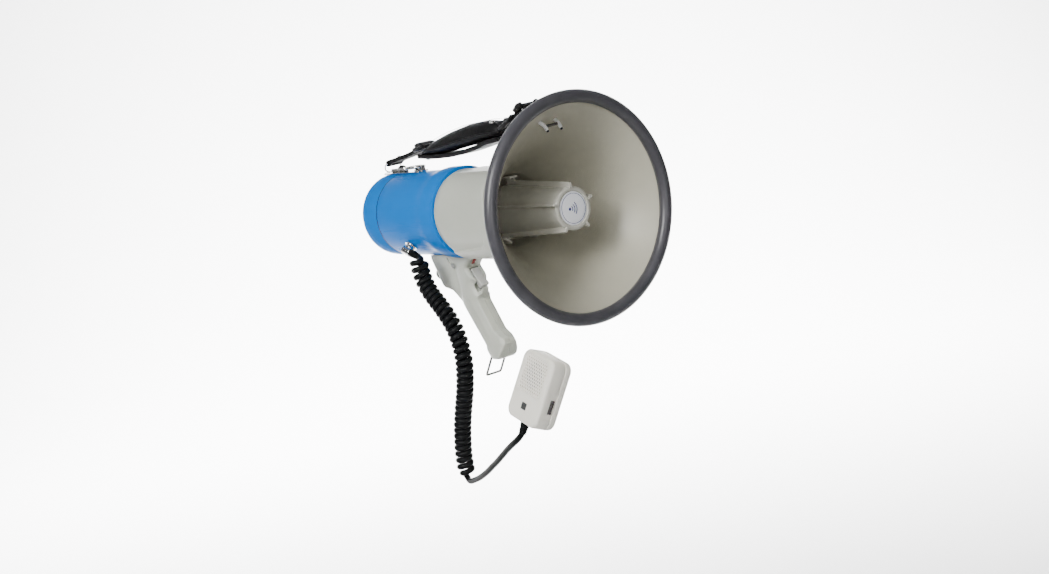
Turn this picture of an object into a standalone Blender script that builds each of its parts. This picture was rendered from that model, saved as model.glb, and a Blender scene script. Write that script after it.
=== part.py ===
"""Handheld megaphone with a fist microphone on a curly cord.

Everything is modelled in the horn frame: the origin is the centre of the bell mouth, +Y runs to the
rear along the barrel and +Z is up.  The horn frame hangs from an empty that puts the world origin in
the middle of the pistol grip, where a hand holds the megaphone.  Lengths below are in millimetres.
"""
import math

import bmesh
import bpy
from mathutils import Matrix, Vector

MM = 0.001
WELD = 0.00002

# Driving dimensions, in millimetres
GRIP_CENTRE = (0.0, 200.0, -115.0)
MOUTH_RADIUS = 103.5
MOUTH_Y = 6.0
FLARE_LENGTH = 104.0
LIP_Y = 2.0
THROAT_Y = 112.0
THROAT_BOWL = 38.0
THROAT_HOLE = 15.0
BELL_WALL = 2.3
BUMPER_TUBE = 6.5
BODY_FRONT_Y = 98.0
BODY_RADIUS = 47.3
BODY_INNER = 44.6
SLEEVE_FRONT_Y = 193.0
SLEEVE_REAR_Y = 308.6
SLEEVE_RADIUS = 46.3
SLEEVE_LIP = 49.2
SLEEVE_INNER = 43.7
CAP_REAR_Y = 347.0
CAP_FLAT = 35.0
CELL_RADIUS = 13.1
CELL_OFFSET = 14.2
CELL_PITCH = 49.3
CELL_START_Y = 219.6
FIN_COUNT = 5
HANDLE_HALF = 13.0
GAP = 0.3
TURN_STEPS = 40

# Side outline of the pistol grip, as (y, z), front top first and then down the front
HANDLE_OUTLINE = [
    (196.0, -42.0), (196.0, -50.5), (206.0, -60.0), (190.0, -81.0), (189.5, -84.5), (198.0, -94.0),
    (177.5, -129.0), (164.0, -137.5), (162.5, -143.0), (170.0, -157.0), (174.0, -159.5),
    (184.0, -160.0), (188.5, -157.5), (233.0, -90.0), (239.0, -85.5), (253.0, -82.5), (256.5, -79.5),
    (270.0, -50.0), (270.0, -42.0),
]
HANDLE_CAVITY = [
    (209.0, -40.0), (209.0, -58.0), (210.0, -66.0), (197.0, -84.0), (202.5, -94.0), (182.0, -129.0),
    (170.0, -139.0), (174.0, -148.0), (186.0, -148.0), (228.0, -86.0), (250.0, -77.5), (262.0, -50.0),
    (262.0, -40.0),
]

# Trigger frame: the top of its front face, the way down its face and the way in, as (y, z)
TRIGGER_TOP = (204.6, -61.6)
TRIGGER_DOWN = (-0.60, -0.80)
TRIGGER_IN = (0.80, -0.60)
TRIGGER_LENGTH = 24.0
TRIGGER_HALF = 5.0

# Curly cord and its straight tail, as route points (x, y, z)
CORD_RADIUS = 2.1
COIL_RADIUS = 8.4
COIL_ROUTE = [
    (-44.0, 243.0, -49.5), (-44.0, 234.0, -67.5), (-44.0, 221.5, -81.5), (-44.0, 207.5, -96.0),
    (-44.0, 196.5, -114.0), (-44.0, 190.5, -134.0), (-44.0, 190.0, -153.0), (-44.0, 193.5, -171.0),
    (-44.0, 199.5, -190.0), (-44.0, 208.0, -210.0), (-44.0, 216.0, -231.0), (-44.0, 222.0, -252.0),
    (-44.0, 224.5, -268.0), (-44.0, 225.0, -279.0),
]
TAIL_ROUTE = [
    (-44.0, 227.5, -280.6), (-44.1, 230.5, -285.5), (-44.4, 228.0, -291.5), (-44.9, 219.5, -293.5),
    (-46.0, 206.0, -289.0), (-48.5, 183.0, -277.0), (-52.0, 158.0, -260.5), (-56.0, 133.5, -243.5),
    (-59.2, 114.0, -231.5), (-61.5, 99.0, -225.0), (-61.5, 88.0, -221.5), (-60.9, 83.2, -217.0),
]

# Microphone frame: its centre and its turn about X, Y and Z in degrees
MIC_CENTRE = (-40.0, 69.6, -176.5)
MIC_TURN = (-23.23, 14.36, -95.51)
MIC_WIDTH = 50.0
MIC_DEPTH = 24.0
MIC_HEIGHT = 67.0
MIC_WALL = 2.2

# Angle of the microphone socket round the barrel, from straight down towards -X
SOCKET_ANGLE = math.radians(51.5)
SOCKET_Y = 263.0
PLUG_AXIS = Vector((0.0, -0.95, -0.31)).normalized()

PLASTIC_GREY = (0.50, 0.50, 0.45)
PLASTIC_BLUE = (0.05, 0.24, 0.56)
RUBBER_GREY = (0.10, 0.10, 0.115)
CREAM = (0.80, 0.77, 0.66)
BLACK = (0.015, 0.015, 0.016)
STEEL = (0.62, 0.62, 0.62)


def clear_scene():
    for item in list(bpy.data.objects):
        bpy.data.objects.remove(item, do_unlink=True)


def make_collection(name):
    collection = bpy.data.collections.new(name)
    bpy.context.scene.collection.children.link(collection)
    return collection


def make_material(name, colour, roughness=0.5, metallic=0.0):
    material = bpy.data.materials.new(name)
    material.use_nodes = True
    shader = material.node_tree.nodes["Principled BSDF"]
    shader.inputs["Base Color"].default_value = (*colour, 1.0)
    shader.inputs["Roughness"].default_value = roughness
    shader.inputs["Metallic"].default_value = metallic
    material.diffuse_color = (*colour, 1.0)
    return material


def metres(point):
    return tuple(MM * value for value in point)


clear_scene()
PARTS = make_collection("handheld_megaphone")
CUTTERS = make_collection("cutters")


def make_frame(name, location, turn=(0.0, 0.0, 0.0), parent=None):
    """An empty; parts hang from it, with their own places in its frame."""
    empty = bpy.data.objects.new(name, None)
    empty.empty_display_size = 0.02
    empty.location = metres(location)
    empty.rotation_euler = [math.radians(angle) for angle in turn]
    empty.parent = parent
    PARTS.objects.link(empty)
    return empty


HORN = make_frame("horn_frame", [-value for value in GRIP_CENTRE])
MIC = make_frame("mic_frame", MIC_CENTRE, MIC_TURN, HORN)


def place(item, location=(0.0, 0.0, 0.0), turn=(0.0, 0.0, 0.0), parent=HORN, cutter=False):
    """Give an object its place in a frame, and its collection."""
    item.location = metres(location)
    item.rotation_euler = [math.radians(angle) for angle in turn]
    item.parent = parent
    collection = CUTTERS if cutter else PARTS
    collection.objects.link(item)
    if cutter:
        item.hide_render = True
        item.display_type = "WIRE"
    return item


def finish(item, material, smooth_angle=35.0):
    item.data.materials.clear()
    item.data.materials.append(material)
    if isinstance(item.data, bpy.types.Mesh) and item.data.polygons:
        item.data.shade_smooth()
        item.data.set_sharp_from_angle(angle=math.radians(smooth_angle))
    return item


def clockwise(points):
    """Order a turned outline so that it runs down its outer side."""
    area = 0.0
    for (r0, z0), (r1, z1) in zip(points, points[1:] + points[:1]):
        area += r0 * z1 - r1 * z0
    return points if area < 0.0 else points[::-1]


def turned(name, profile, material=None, steps=TURN_STEPS, **spot):
    """A profile of (radius, height) turned about the object's own Z axis."""
    points = clockwise(list(profile))
    closed = min(radius for radius, height in points) > 0.0
    if not closed:
        while points[0][0] > 0.0 or points[-1][0] > 0.0:
            points = points[1:] + points[:1]
    mesh = bpy.data.meshes.new(name)
    count = len(points)
    edges = [(index, index + 1) for index in range(count - 1)]
    if closed:
        edges.append((count - 1, 0))
    mesh.from_pydata([(radius * MM, 0.0, height * MM) for radius, height in points], edges, [])
    item = bpy.data.objects.new(name, mesh)
    screw = item.modifiers.new("turn", "SCREW")
    screw.steps = steps
    screw.render_steps = steps
    screw.use_merge_vertices = True
    screw.merge_threshold = 0.00001
    screw.use_smooth_shade = True
    place(item, **spot)
    if material:
        item.data.materials.append(material)
    return item


def turned_on_barrel(name, profile, material=None, steps=TURN_STEPS, **spot):
    """A profile of (radius, y) turned about the barrel's axis."""
    return turned(name, profile, material, steps, turn=(-90.0, 0.0, 0.0), **spot)


def block(name, size, material=None, bevel=0.0, segments=2, **spot):
    """A box centred on its place, with its edges rounded by bevel."""
    mesh = bpy.data.meshes.new(name)
    bm = bmesh.new()
    bmesh.ops.create_cube(bm, size=1.0)
    bmesh.ops.scale(bm, vec=metres(size), verts=bm.verts)
    bm.to_mesh(mesh)
    bm.free()
    item = place(bpy.data.objects.new(name, mesh), **spot)
    if bevel:
        add_bevel(item, bevel, segments)
    if material:
        finish(item, material)
    return item


def rod(name, radius, length, material=None, steps=16, far_radius=None, **spot):
    """A cylinder or cone along its own Z axis, centred on its place."""
    mesh = bpy.data.meshes.new(name)
    bm = bmesh.new()
    far = radius if far_radius is None else far_radius
    bmesh.ops.create_cone(bm, cap_ends=True, segments=steps, radius1=radius * MM,
                          radius2=far * MM, depth=length * MM)
    bm.to_mesh(mesh)
    bm.free()
    item = place(bpy.data.objects.new(name, mesh), **spot)
    if material:
        finish(item, material)
    return item


def add_bevel(item, width, segments=2, angle=30.0):
    bevel = item.modifiers.new("round", "BEVEL")
    bevel.width = width * MM
    bevel.segments = segments
    bevel.limit_method = "ANGLE"
    bevel.angle_limit = math.radians(angle)
    return bevel


def boolean(item, other, operation="DIFFERENCE", own=False):
    cut = item.modifiers.new(other.name, "BOOLEAN")
    cut.operation = operation
    cut.object = other
    cut.solver = "EXACT"
    cut.use_self = own


def mesh_of_curve(curve_object, name):
    """Replace a curve object by the mesh it makes, with its caps welded on."""
    bpy.context.view_layer.update()
    evaluated = curve_object.evaluated_get(bpy.context.evaluated_depsgraph_get())
    mesh = bpy.data.meshes.new_from_object(evaluated)
    bm = bmesh.new()
    bm.from_mesh(mesh)
    bmesh.ops.remove_doubles(bm, verts=bm.verts, dist=WELD)
    bmesh.ops.recalc_face_normals(bm, faces=bm.faces)
    bm.to_mesh(mesh)
    bm.free()
    mesh.name = name
    bpy.data.objects.remove(curve_object, do_unlink=True)
    return mesh


def side_plate(name, outline, thickness, centre_x=0.0, material=None, **spot):
    """An outline of (y, z) in the side view, extruded across the megaphone."""
    curve = bpy.data.curves.new(name, "CURVE")
    curve.dimensions = "2D"
    curve.fill_mode = "BOTH"
    curve.extrude = 0.5 * thickness * MM
    spline = curve.splines.new("POLY")
    spline.points.add(len(outline) - 1)
    for point, (y, z) in zip(spline.points, outline):
        point.co = (y * MM, z * MM, 0.0, 1.0)
    spline.use_cyclic_u = True
    holder = bpy.data.objects.new(name + "_outline", curve)
    PARTS.objects.link(holder)
    mesh = mesh_of_curve(holder, name)
    item = place(bpy.data.objects.new(name, mesh), location=(centre_x, 0.0, 0.0),
                 turn=(90.0, 0.0, 90.0), **spot)
    if material:
        finish(item, material)
    return item


def smooth_route(route, spacing):
    """Points about a spacing apart on the smooth curve through a route."""
    knots = [Vector(point) for point in route]
    padded = [2.0 * knots[0] - knots[1]] + knots + [2.0 * knots[-1] - knots[-2]]
    points = []
    for p0, p1, p2, p3 in zip(padded, padded[1:], padded[2:], padded[3:]):
        count = max(1, round((p2 - p1).length / spacing))
        for index in range(count):
            t = index / count
            points.append(0.5 * (2.0 * p1 + (p2 - p0) * t
                                 + (2.0 * p0 - 5.0 * p1 + 4.0 * p2 - p3) * t ** 2
                                 + (3.0 * p1 - p0 - 3.0 * p2 + p3) * t ** 3))
    return points + [knots[-1]]


def wire(name, points, radius, material, resolution=2, cyclic=False, **spot):
    """A round wire or cord along a list of points."""
    curve = bpy.data.curves.new(name, "CURVE")
    curve.dimensions = "3D"
    curve.bevel_depth = radius * MM
    curve.bevel_resolution = resolution
    curve.use_fill_caps = True
    curve.render_resolution_u = 0
    spline = curve.splines.new("POLY")
    spline.points.add(len(points) - 1)
    for target, point in zip(spline.points, points):
        target.co = (*metres(point), 1.0)
    spline.use_cyclic_u = cyclic
    curve.materials.append(material)
    return place(bpy.data.objects.new(name, curve), **spot)


def shift(points, distance):
    """A line of (r, y) points moved sideways by a distance, to the right of its way."""
    moved = []
    last = len(points) - 1
    for index, (r, y) in enumerate(points):
        before = points[max(index - 1, 0)]
        after = points[min(index + 1, last)]
        dr, dy = after[0] - before[0], after[1] - before[1]
        length = math.hypot(dr, dy)
        moved.append((r + distance * dy / length, y - distance * dr / length))
    return moved


def bell_radius(y):
    return MOUTH_RADIUS * math.exp((MOUTH_Y - y) / FLARE_LENGTH)


def bell_inner_line():
    """The bell's inner face from the lip to the throat hole, as (r, y)."""
    flare = [(bell_radius(y), y) for y in (LIP_Y, 9.0, 18.0, 29.0, 42.0, 57.0, 74.0, 93.0, THROAT_Y)]
    width = bell_radius(THROAT_Y) - THROAT_HOLE
    bowl = []
    for step in range(1, 5):
        angle = 0.5 * math.pi * step / 4
        bowl.append((THROAT_HOLE + width * math.cos(angle), THROAT_Y + THROAT_BOWL * math.sin(angle)))
    return flare + bowl


def bell_outer_line():
    line = shift(bell_inner_line(), BELL_WALL)
    line[-1] = (THROAT_HOLE, THROAT_Y + THROAT_BOWL + BELL_WALL)
    return line


def make_bell(grey, rubber):
    turned_on_barrel("horn_bell", bell_inner_line() + bell_outer_line()[::-1], grey)
    lip_r, lip_y = bell_radius(LIP_Y), LIP_Y
    slope = Vector((bell_radius(LIP_Y) - bell_radius(LIP_Y + 4.0), -4.0)).normalized()
    normal = Vector((-slope.y, slope.x))
    centre = Vector((lip_r, lip_y)) + 0.5 * BELL_WALL * normal
    half = 0.5 * BELL_WALL + GAP
    opening = math.asin(half / BUMPER_TUBE)
    start = math.atan2(-slope.y, -slope.x)
    floor = centre + 0.5 * slope
    profile = [tuple(floor - half * normal), tuple(floor + half * normal)]
    sides = 14
    first = start - opening
    sweep = 2.0 * math.pi - 2.0 * opening
    for index in range(sides + 1):
        angle = first - sweep * index / sides
        profile.append((centre.x + BUMPER_TUBE * math.cos(angle),
                        centre.y + BUMPER_TUBE * math.sin(angle)))
    turned_on_barrel("bell_rim_bumper", profile, rubber)


def fin_plates():
    """Five fins and their feet, one joined mesh each, to be united with the tube."""
    fin_outline = [(22.1, 14.2), (25.4, 14.2), (26.2, 17.0), (30.6, 104.0), (34.4, 106.5),
                   (34.4, 116.0), (25.9, 117.0), (19.5, 24.5), (19.5, 19.6), (22.1, 19.6)]
    fins = bmesh.new()
    feet = bmesh.new()
    for index in range(FIN_COUNT):
        turn = Matrix.Rotation(2.0 * math.pi * index / FIN_COUNT, 4, "Y")
        sides = []
        for x in (-1.1, 1.1):
            corners = [fins.verts.new(turn @ Vector(metres((x, y, r)))) for r, y in fin_outline]
            sides.append(corners)
            fins.faces.new(corners)
        count = len(fin_outline)
        for corner in range(count):
            following = (corner + 1) % count
            fins.faces.new([sides[0][corner], sides[0][following],
                            sides[1][following], sides[1][corner]])
        spot = turn @ Matrix.Translation(metres((0.0, 110.0, 34.7)))
        size = Matrix.Diagonal((*metres((10.0, 12.0, 2.2)), 1.0))
        bmesh.ops.create_cube(feet, size=1.0, matrix=spot @ size)
    bmesh.ops.recalc_face_normals(fins, faces=fins.faces)
    cutters = []
    for name, bm in (("fins", fins), ("fin_feet", feet)):
        mesh = bpy.data.meshes.new(name)
        bm.to_mesh(mesh)
        bm.free()
        cutters.append(place(bpy.data.objects.new(name, mesh), cutter=True))
    return cutters


def make_reflector(grey, white):
    outer = [(20.4, 19.3), (20.7, 26.0), (23.2, 60.0), (25.4, 92.0), (27.0, 118.0)]
    inner = [(radius - 2.0, y) for radius, y in outer]
    tube = turned_on_barrel("reflector_tube", outer + inner[::-1], grey, 30)
    for plates in fin_plates():
        boolean(tube, plates, "UNION")
    cap = [(0.0, 16.6), (17.1, 16.6), (17.1, 15.8), (19.4, 15.2), (21.2, 15.8), (21.7, 17.0),
           (21.7, 19.0), (18.0, 19.0), (18.0, 25.0), (16.0, 25.0), (16.0, 19.6), (0.0, 19.6)]
    turned_on_barrel("reflector_cap", cap, grey, 30)
    turned_on_barrel("label_disc", [(0.0, 15.7), (16.7, 15.7), (16.7, 16.3), (0.0, 16.3)], white, 30)


def make_driver(grey, steel, ferrite, film, copper):
    tube = [(11.5, 40.0), (13.8, 152.0), (13.8, 153.0), (34.0, 153.0), (34.0, 156.0), (12.0, 156.0),
            (9.7, 40.0)]
    turned_on_barrel("throat_tube", tube, grey, 24)
    dome = [(0.0, 157.6), (6.0, 158.1), (10.5, 159.4), (13.0, 161.0), (20.0, 161.0), (20.0, 161.5),
            (12.8, 161.5), (10.2, 159.9), (5.9, 158.6), (0.0, 158.1)]
    turned_on_barrel("driver_diaphragm", dome, film, 24)
    turned_on_barrel("voice_coil", [(12.4, 161.9), (13.1, 161.9), (13.1, 171.0), (12.4, 171.0)],
                     copper, 24)
    turned_on_barrel("driver_top_plate", [(13.7, 163.5), (32.0, 163.5), (32.0, 167.5), (13.7, 167.5)],
                     steel, 24)
    turned_on_barrel("driver_magnet", [(17.0, 167.8), (34.0, 167.8), (34.0, 181.0), (17.0, 181.0)],
                     ferrite, 24)
    yoke = [(0.0, 163.6), (11.8, 163.6), (11.8, 181.3), (32.0, 181.3), (32.0, 185.5), (0.0, 185.5)]
    turned_on_barrel("driver_yoke", yoke, steel, 24)


def squircle(radius, power, count):
    """Points of (x, z) on a rounded square whose flats are a radius from the middle."""
    points = []
    for index in range(count):
        angle = 2.0 * math.pi * index / count
        c, s = math.cos(angle), math.sin(angle)
        reach = radius * (abs(c) ** power + abs(s) ** power) ** (-1.0 / power)
        points.append((reach * s, reach * c))
    return points


def make_front_body(grey):
    """A shell that is round inside and changes from round to rounded-square outside."""
    outer = [(206.0, 43.3, 2.0), (192.7, 43.3, 2.0), (192.7, 46.0, 2.0), (184.0, 46.5, 2.1),
             (165.0, 47.0, 2.35), (140.0, BODY_RADIUS, 2.6), (110.0, BODY_RADIUS, 2.75),
             (101.0, BODY_RADIUS, 2.75), (99.0, 46.9, 2.75), (BODY_FRONT_Y, 46.5, 2.7)]
    inner = [(BODY_FRONT_Y, 45.7, 2.0), (102.0, BODY_INNER, 2.0), (188.0, BODY_INNER, 2.0),
             (194.0, 41.2, 2.0), (206.0, 41.2, 2.0)]
    count = 48
    bm = bmesh.new()
    rings = []
    for y, radius, power in outer + inner:
        rings.append([bm.verts.new(metres((x, y, z))) for x, z in squircle(radius, power, count)])
    for near, far in zip(rings, rings[1:] + rings[:1]):
        for index in range(count):
            following = (index + 1) % count
            bm.faces.new([near[index], near[following], far[following], far[index]])
    bmesh.ops.recalc_face_normals(bm, faces=bm.faces)
    mesh = bpy.data.meshes.new("front_body")
    bm.to_mesh(mesh)
    bm.free()
    finish(place(bpy.data.objects.new("front_body", mesh)), grey)


def make_barrel(blue):
    lip = [(SLEEVE_INNER, SLEEVE_FRONT_Y), (48.4, SLEEVE_FRONT_Y), (SLEEVE_LIP, 194.0),
           (SLEEVE_LIP, 216.0), (46.8, 230.0), (SLEEVE_RADIUS, 234.0)]
    sleeve = turned_on_barrel("barrel_sleeve", lip + [(SLEEVE_RADIUS, SLEEVE_REAR_Y),
                                                      (SLEEVE_INNER, SLEEVE_REAR_Y)], blue, 48)
    boolean(sleeve, socket_rod("socket_hole", 5.0, 36.0, 50.0, cutter=True))
    cap = [(0.0, CAP_REAR_Y), (CAP_FLAT, CAP_REAR_Y), (40.0, 345.6), (43.8, 341.8), (45.9, 336.5),
           (SLEEVE_RADIUS, 331.0), (SLEEVE_RADIUS, 309.0), (43.3, 309.0), (43.3, 299.0),
           (41.0, 299.0), (41.0, 337.0), (37.5, 343.0), (0.0, 344.3)]
    turned_on_barrel("rear_cap", cap, blue, 48)


def socket_direction():
    return Vector((-math.sin(SOCKET_ANGLE), 0.0, -math.cos(SOCKET_ANGLE)))


def socket_rod(name, radius, start, end, material=None, **spot):
    """A rod that stands out of the barrel at the microphone socket."""
    middle = socket_direction() * 0.5 * (start + end)
    tilt = 180.0 + math.degrees(SOCKET_ANGLE)
    return rod(name, radius, end - start, material, location=(middle.x, SOCKET_Y, middle.z),
               turn=(0.0, tilt, 0.0), **spot)


def along_plug(name, radius, start, end, material=None, far_radius=None, steps=16, **spot):
    """A rod or cone on the plug's axis, between two distances from the plug's corner."""
    corner = socket_direction() * 54.4 + Vector((0.0, SOCKET_Y, 0.0))
    middle = corner + PLUG_AXIS * 0.5 * (start + end)
    turn = PLUG_AXIS.to_track_quat("Z", "Y").to_euler()
    return rod(name, radius, end - start, material, steps, far_radius, location=tuple(middle),
               turn=[math.degrees(angle) for angle in turn], **spot)


def make_electronics(board, metal, can, core):
    turned_on_barrel("amplifier_board", [(0.0, 190.0), (40.0, 190.0), (40.0, 191.6), (0.0, 191.6)],
                     board, 32)
    block("heatsink", (34.0, 12.0, 14.0), metal, location=(0.0, 198.3, 24.0))
    rod("output_capacitor", 5.0, 14.0, can, 14, location=(-24.0, 199.2, 0.0), turn=(-90.0, 0.0, 0.0))
    block("output_transformer", (24.0, 16.0, 20.0), core, 1.0, 1, location=(0.0, 200.3, -8.0))


def make_batteries(cell_skin, frame):
    body = CELL_PITCH - 1.9
    profile = [(0.0, 0.0), (CELL_RADIUS - 0.8, 0.0), (CELL_RADIUS, 0.8), (CELL_RADIUS, body - 0.8),
               (CELL_RADIUS - 0.8, body), (3.2, body), (3.2, body + 1.4), (0.0, body + 1.4)]
    number = 0
    for layer in range(2):
        for side_x in (-1, 1):
            for side_z in (-1, 1):
                number += 1
                turned_on_barrel("battery_cell_%d" % number, profile, cell_skin, 14,
                                 location=(side_x * CELL_OFFSET, CELL_START_Y + layer * CELL_PITCH,
                                           side_z * CELL_OFFSET))
    disc = [(0.0, 216.6), (40.0, 216.6), (40.0, 219.1), (0.0, 219.1)]
    carrier = turned_on_barrel("battery_carrier", disc, frame, 32)
    length = 2.0 * CELL_PITCH
    middle = 219.0 + 0.5 * length - 0.5
    for name, size in (("upright_wall", (1.5, length, 64.0)), ("level_wall", (64.0, length, 1.5))):
        boolean(carrier, block(name, size, location=(0.0, middle, 0.0), cutter=True), "UNION")


def make_socket_and_plug(chrome, rubber):
    socket = socket_rod("mic_socket", 4.7, 38.0, 48.0, chrome)
    boolean(socket, socket_rod("socket_nut", 6.3, 46.6, 48.0, cutter=True), "UNION")
    shell = along_plug("mic_plug_shell", 4.7, -5.5, 7.0, chrome)
    boolean(shell, socket_rod("plug_neck", 3.6, 48.4, 54.0, cutter=True), "UNION")
    along_plug("mic_plug_boot", 3.7, 7.3, 21.5, rubber, far_radius=2.5)


def make_cord(rubber):
    wire("cord_coil", smooth_route(COIL_ROUTE, 9.0), COIL_RADIUS, rubber, 3)
    wire("cord_tail", smooth_route(TAIL_ROUTE, 6.5), CORD_RADIUS, rubber, 2)


def mic_box(name, size, location, material=None, bevel=0.0, segments=2, **spot):
    return block(name, size, material, bevel, segments, location=location, parent=MIC, **spot)


def make_mic_shells(cream):
    """Two half shells of a rounded box, parted a little behind its middle."""
    parting = 3.0
    cavity = [value - 2.0 * MIC_WALL for value in (MIC_WIDTH, MIC_DEPTH, MIC_HEIGHT)]
    hollow = mic_box("mic_hollow", cavity, (0.0, 0.0, 0.0), bevel=2.5, cutter=True)
    slot = mic_box("button_slot", (8.0, 5.0, 14.0), (24.0, -0.3, -9.5), cutter=True)
    cord_hole = rod("mic_cord_hole", 2.9, 12.0, location=(0.0, -4.0, -33.0), parent=MIC, cutter=True)
    window = mic_box("grille_window", (36.6, 6.0, 36.6), (0.0, -11.5, 12.0), cutter=True)
    badge = mic_box("badge_seat", (8.1, 1.6, 7.1), (0.0, -12.0, -18.0), cutter=True)
    for name, side in (("mic_front_shell", -1), ("mic_rear_shell", 1)):
        shell = mic_box(name, (MIC_WIDTH, MIC_DEPTH, MIC_HEIGHT), (0.0, 0.0, 0.0), bevel=5.0,
                        segments=3)
        away = parting - side * (30.0 - 0.5 * GAP)
        boolean(shell, mic_box(name + "_split", (80.0, 60.0, 90.0), (0.0, away, 0.0), cutter=True))
        boolean(shell, hollow)
        boolean(shell, slot)
        boolean(shell, cord_hole)
        if side < 0:
            boolean(shell, window)
            boolean(shell, badge)
        finish(shell, cream)


def make_microphone(cream, dark, black, steel, board):
    make_mic_shells(cream)
    mic_box("mic_grille", (36.0, 1.6, 36.0), (0.0, -10.9, 12.0), cream)
    mic_box("mic_badge", (7.5, 0.7, 6.5), (0.0, -11.7, -18.0), dark)
    button = mic_box("mic_talk_button", (3.4, 4.2, 13.2), (23.7, -0.3, -9.5), dark)
    boolean(button, mic_box("button_flange", (1.4, 7.6, 16.0), (21.8, -0.3, -9.5), cutter=True),
            "UNION")
    rod("mic_capsule", 7.0, 7.0, steel, 20, location=(0.0, -5.8, 9.0), turn=(90.0, 0.0, 0.0),
        parent=MIC)
    mic_box("mic_board", (36.0, 1.4, 44.0), (0.0, 3.5, 2.0), board)
    boot = rod("mic_cord_boot", 3.1, 10.4, black, 16, 3.7, location=(0.0, -4.0, -39.2), parent=MIC)
    boolean(boot, rod("boot_neck", 2.5, 8.0, location=(0.0, -4.0, -32.0), parent=MIC, cutter=True),
            "UNION")


def from_trigger(down, inward):
    return (TRIGGER_TOP[0] + down * TRIGGER_DOWN[0] + inward * TRIGGER_IN[0],
            TRIGGER_TOP[1] + down * TRIGGER_DOWN[1] + inward * TRIGGER_IN[1])


def cross_rod(name, radius, length, spot_yz, material=None, centre_x=0.0, **spot):
    """A rod that lies across the megaphone."""
    return rod(name, radius, length, material, location=(centre_x, *spot_yz), turn=(0.0, 90.0, 0.0),
               **spot)


TRIGGER_PIN = from_trigger(3.0, 4.2)
SCREW_SPOT = (227.0, -57.0)
BAIL_PIVOT = (186.0, -154.5)
KNOB_SPOT = (262.5, -66.0)
KNOB_TILT = 24.0


def handle_cutters():
    """Everything that both halves of the grip are cut with."""
    barrel = [(0.0, 150.0), (SLEEVE_LIP + GAP, 150.0), (SLEEVE_LIP + GAP, 217.0), (47.1, 231.0),
              (SLEEVE_RADIUS + GAP, 235.0), (SLEEVE_RADIUS + GAP, 300.0), (0.0, 300.0)]
    slot = [from_trigger(-1.2, -12.0), from_trigger(TRIGGER_LENGTH + 0.8, -12.0),
            from_trigger(TRIGGER_LENGTH + 0.8, 9.5), from_trigger(-1.2, 9.5)]
    cutters = [
        turned_on_barrel("barrel_clearance", barrel, steps=48, cutter=True),
        side_plate("grip_cavity", HANDLE_CAVITY, 2.0 * HANDLE_HALF - 5.0, cutter=True),
        side_plate("trigger_slot", slot, 2.0 * TRIGGER_HALF + 0.8, cutter=True),
        cross_rod("screw_hole", 1.7, 40.0, SCREW_SPOT, cutter=True),
        cross_rod("pin_seat", 1.6, 21.0, TRIGGER_PIN, cutter=True),
        cross_rod("screw_recess", 3.6, 8.0, SCREW_SPOT, centre_x=-14.0, cutter=True),
        cross_rod("bail_hole", 1.3, 40.0, BAIL_PIVOT, cutter=True),
        knob_rod("knob_hole", 3.6, -12.0, 4.0, cutter=True),
    ]
    for side in (-1, 1):
        cutters.append(block("bail_pocket", (6.0, 17.0, 14.0), cutter=True,
                             location=(side * 11.2, 187.0, -158.5)))
    return cutters


def make_handle_shells(grey):
    cutters = handle_cutters()
    for name, side in (("handle_left_shell", 1), ("handle_right_shell", -1)):
        shell = side_plate(name, HANDLE_OUTLINE, 2.0 * HANDLE_HALF)
        add_bevel(shell, 4.5, 3, 60.0)
        boolean(shell, block(name + "_split", (60.0, 200.0, 200.0), cutter=True,
                             location=(-side * (30.0 - 0.5 * GAP), 210.0, -100.0)))
        for cutter in cutters:
            boolean(shell, cutter)
        finish(shell, grey)


def make_trigger(silver, steel, black):
    outline = [from_trigger(0.0, 0.3), from_trigger(TRIGGER_LENGTH, 0.3),
               from_trigger(TRIGGER_LENGTH, 3.6), from_trigger(9.0, 5.6), from_trigger(6.5, 7.6),
               from_trigger(0.0, 7.6)]
    trigger = side_plate("trigger", outline, 2.0 * TRIGGER_HALF)
    pivot = Vector(metres((0.0, *TRIGGER_PIN)))
    trigger.data.transform(trigger.matrix_basis)
    trigger.data.transform(Matrix.Translation(-pivot))
    trigger.matrix_basis = Matrix.Translation(pivot)
    boolean(trigger, cross_rod("pin_hole", 1.6, 30.0, TRIGGER_PIN, cutter=True))
    finish(trigger, silver)
    cross_rod("trigger_pin", 1.3, 20.4, TRIGGER_PIN, steel)
    switch = from_trigger(11.0, 14.6)
    block("trigger_switch", (9.0, 6.5, 11.0), black, location=(0.0, *switch), turn=(-36.87, 0.0, 0.0))
    points = []
    turns, per_turn = 4, 9
    for index in range(turns * per_turn + 1):
        angle = 2.0 * math.pi * index / per_turn
        y, z = from_trigger(20.2 + 1.9 * math.cos(angle), 7.3 + 4.4 * index / (turns * per_turn))
        points.append((1.9 * math.sin(angle), y, z))
    wire("trigger_spring", points, 0.35, steel, 1)


def knob_rod(name, radius, start, end, material=None, **spot):
    """A rod on the volume knob's axis, which leaves the rear of the grip's block."""
    middle = 0.5 * (start + end)
    y = KNOB_SPOT[0] + middle * math.cos(math.radians(KNOB_TILT))
    z = KNOB_SPOT[1] - middle * math.sin(math.radians(KNOB_TILT))
    return rod(name, radius, end - start, material, location=(0.0, y, z),
               turn=(-90.0 - KNOB_TILT, 0.0, 0.0), **spot)


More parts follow.
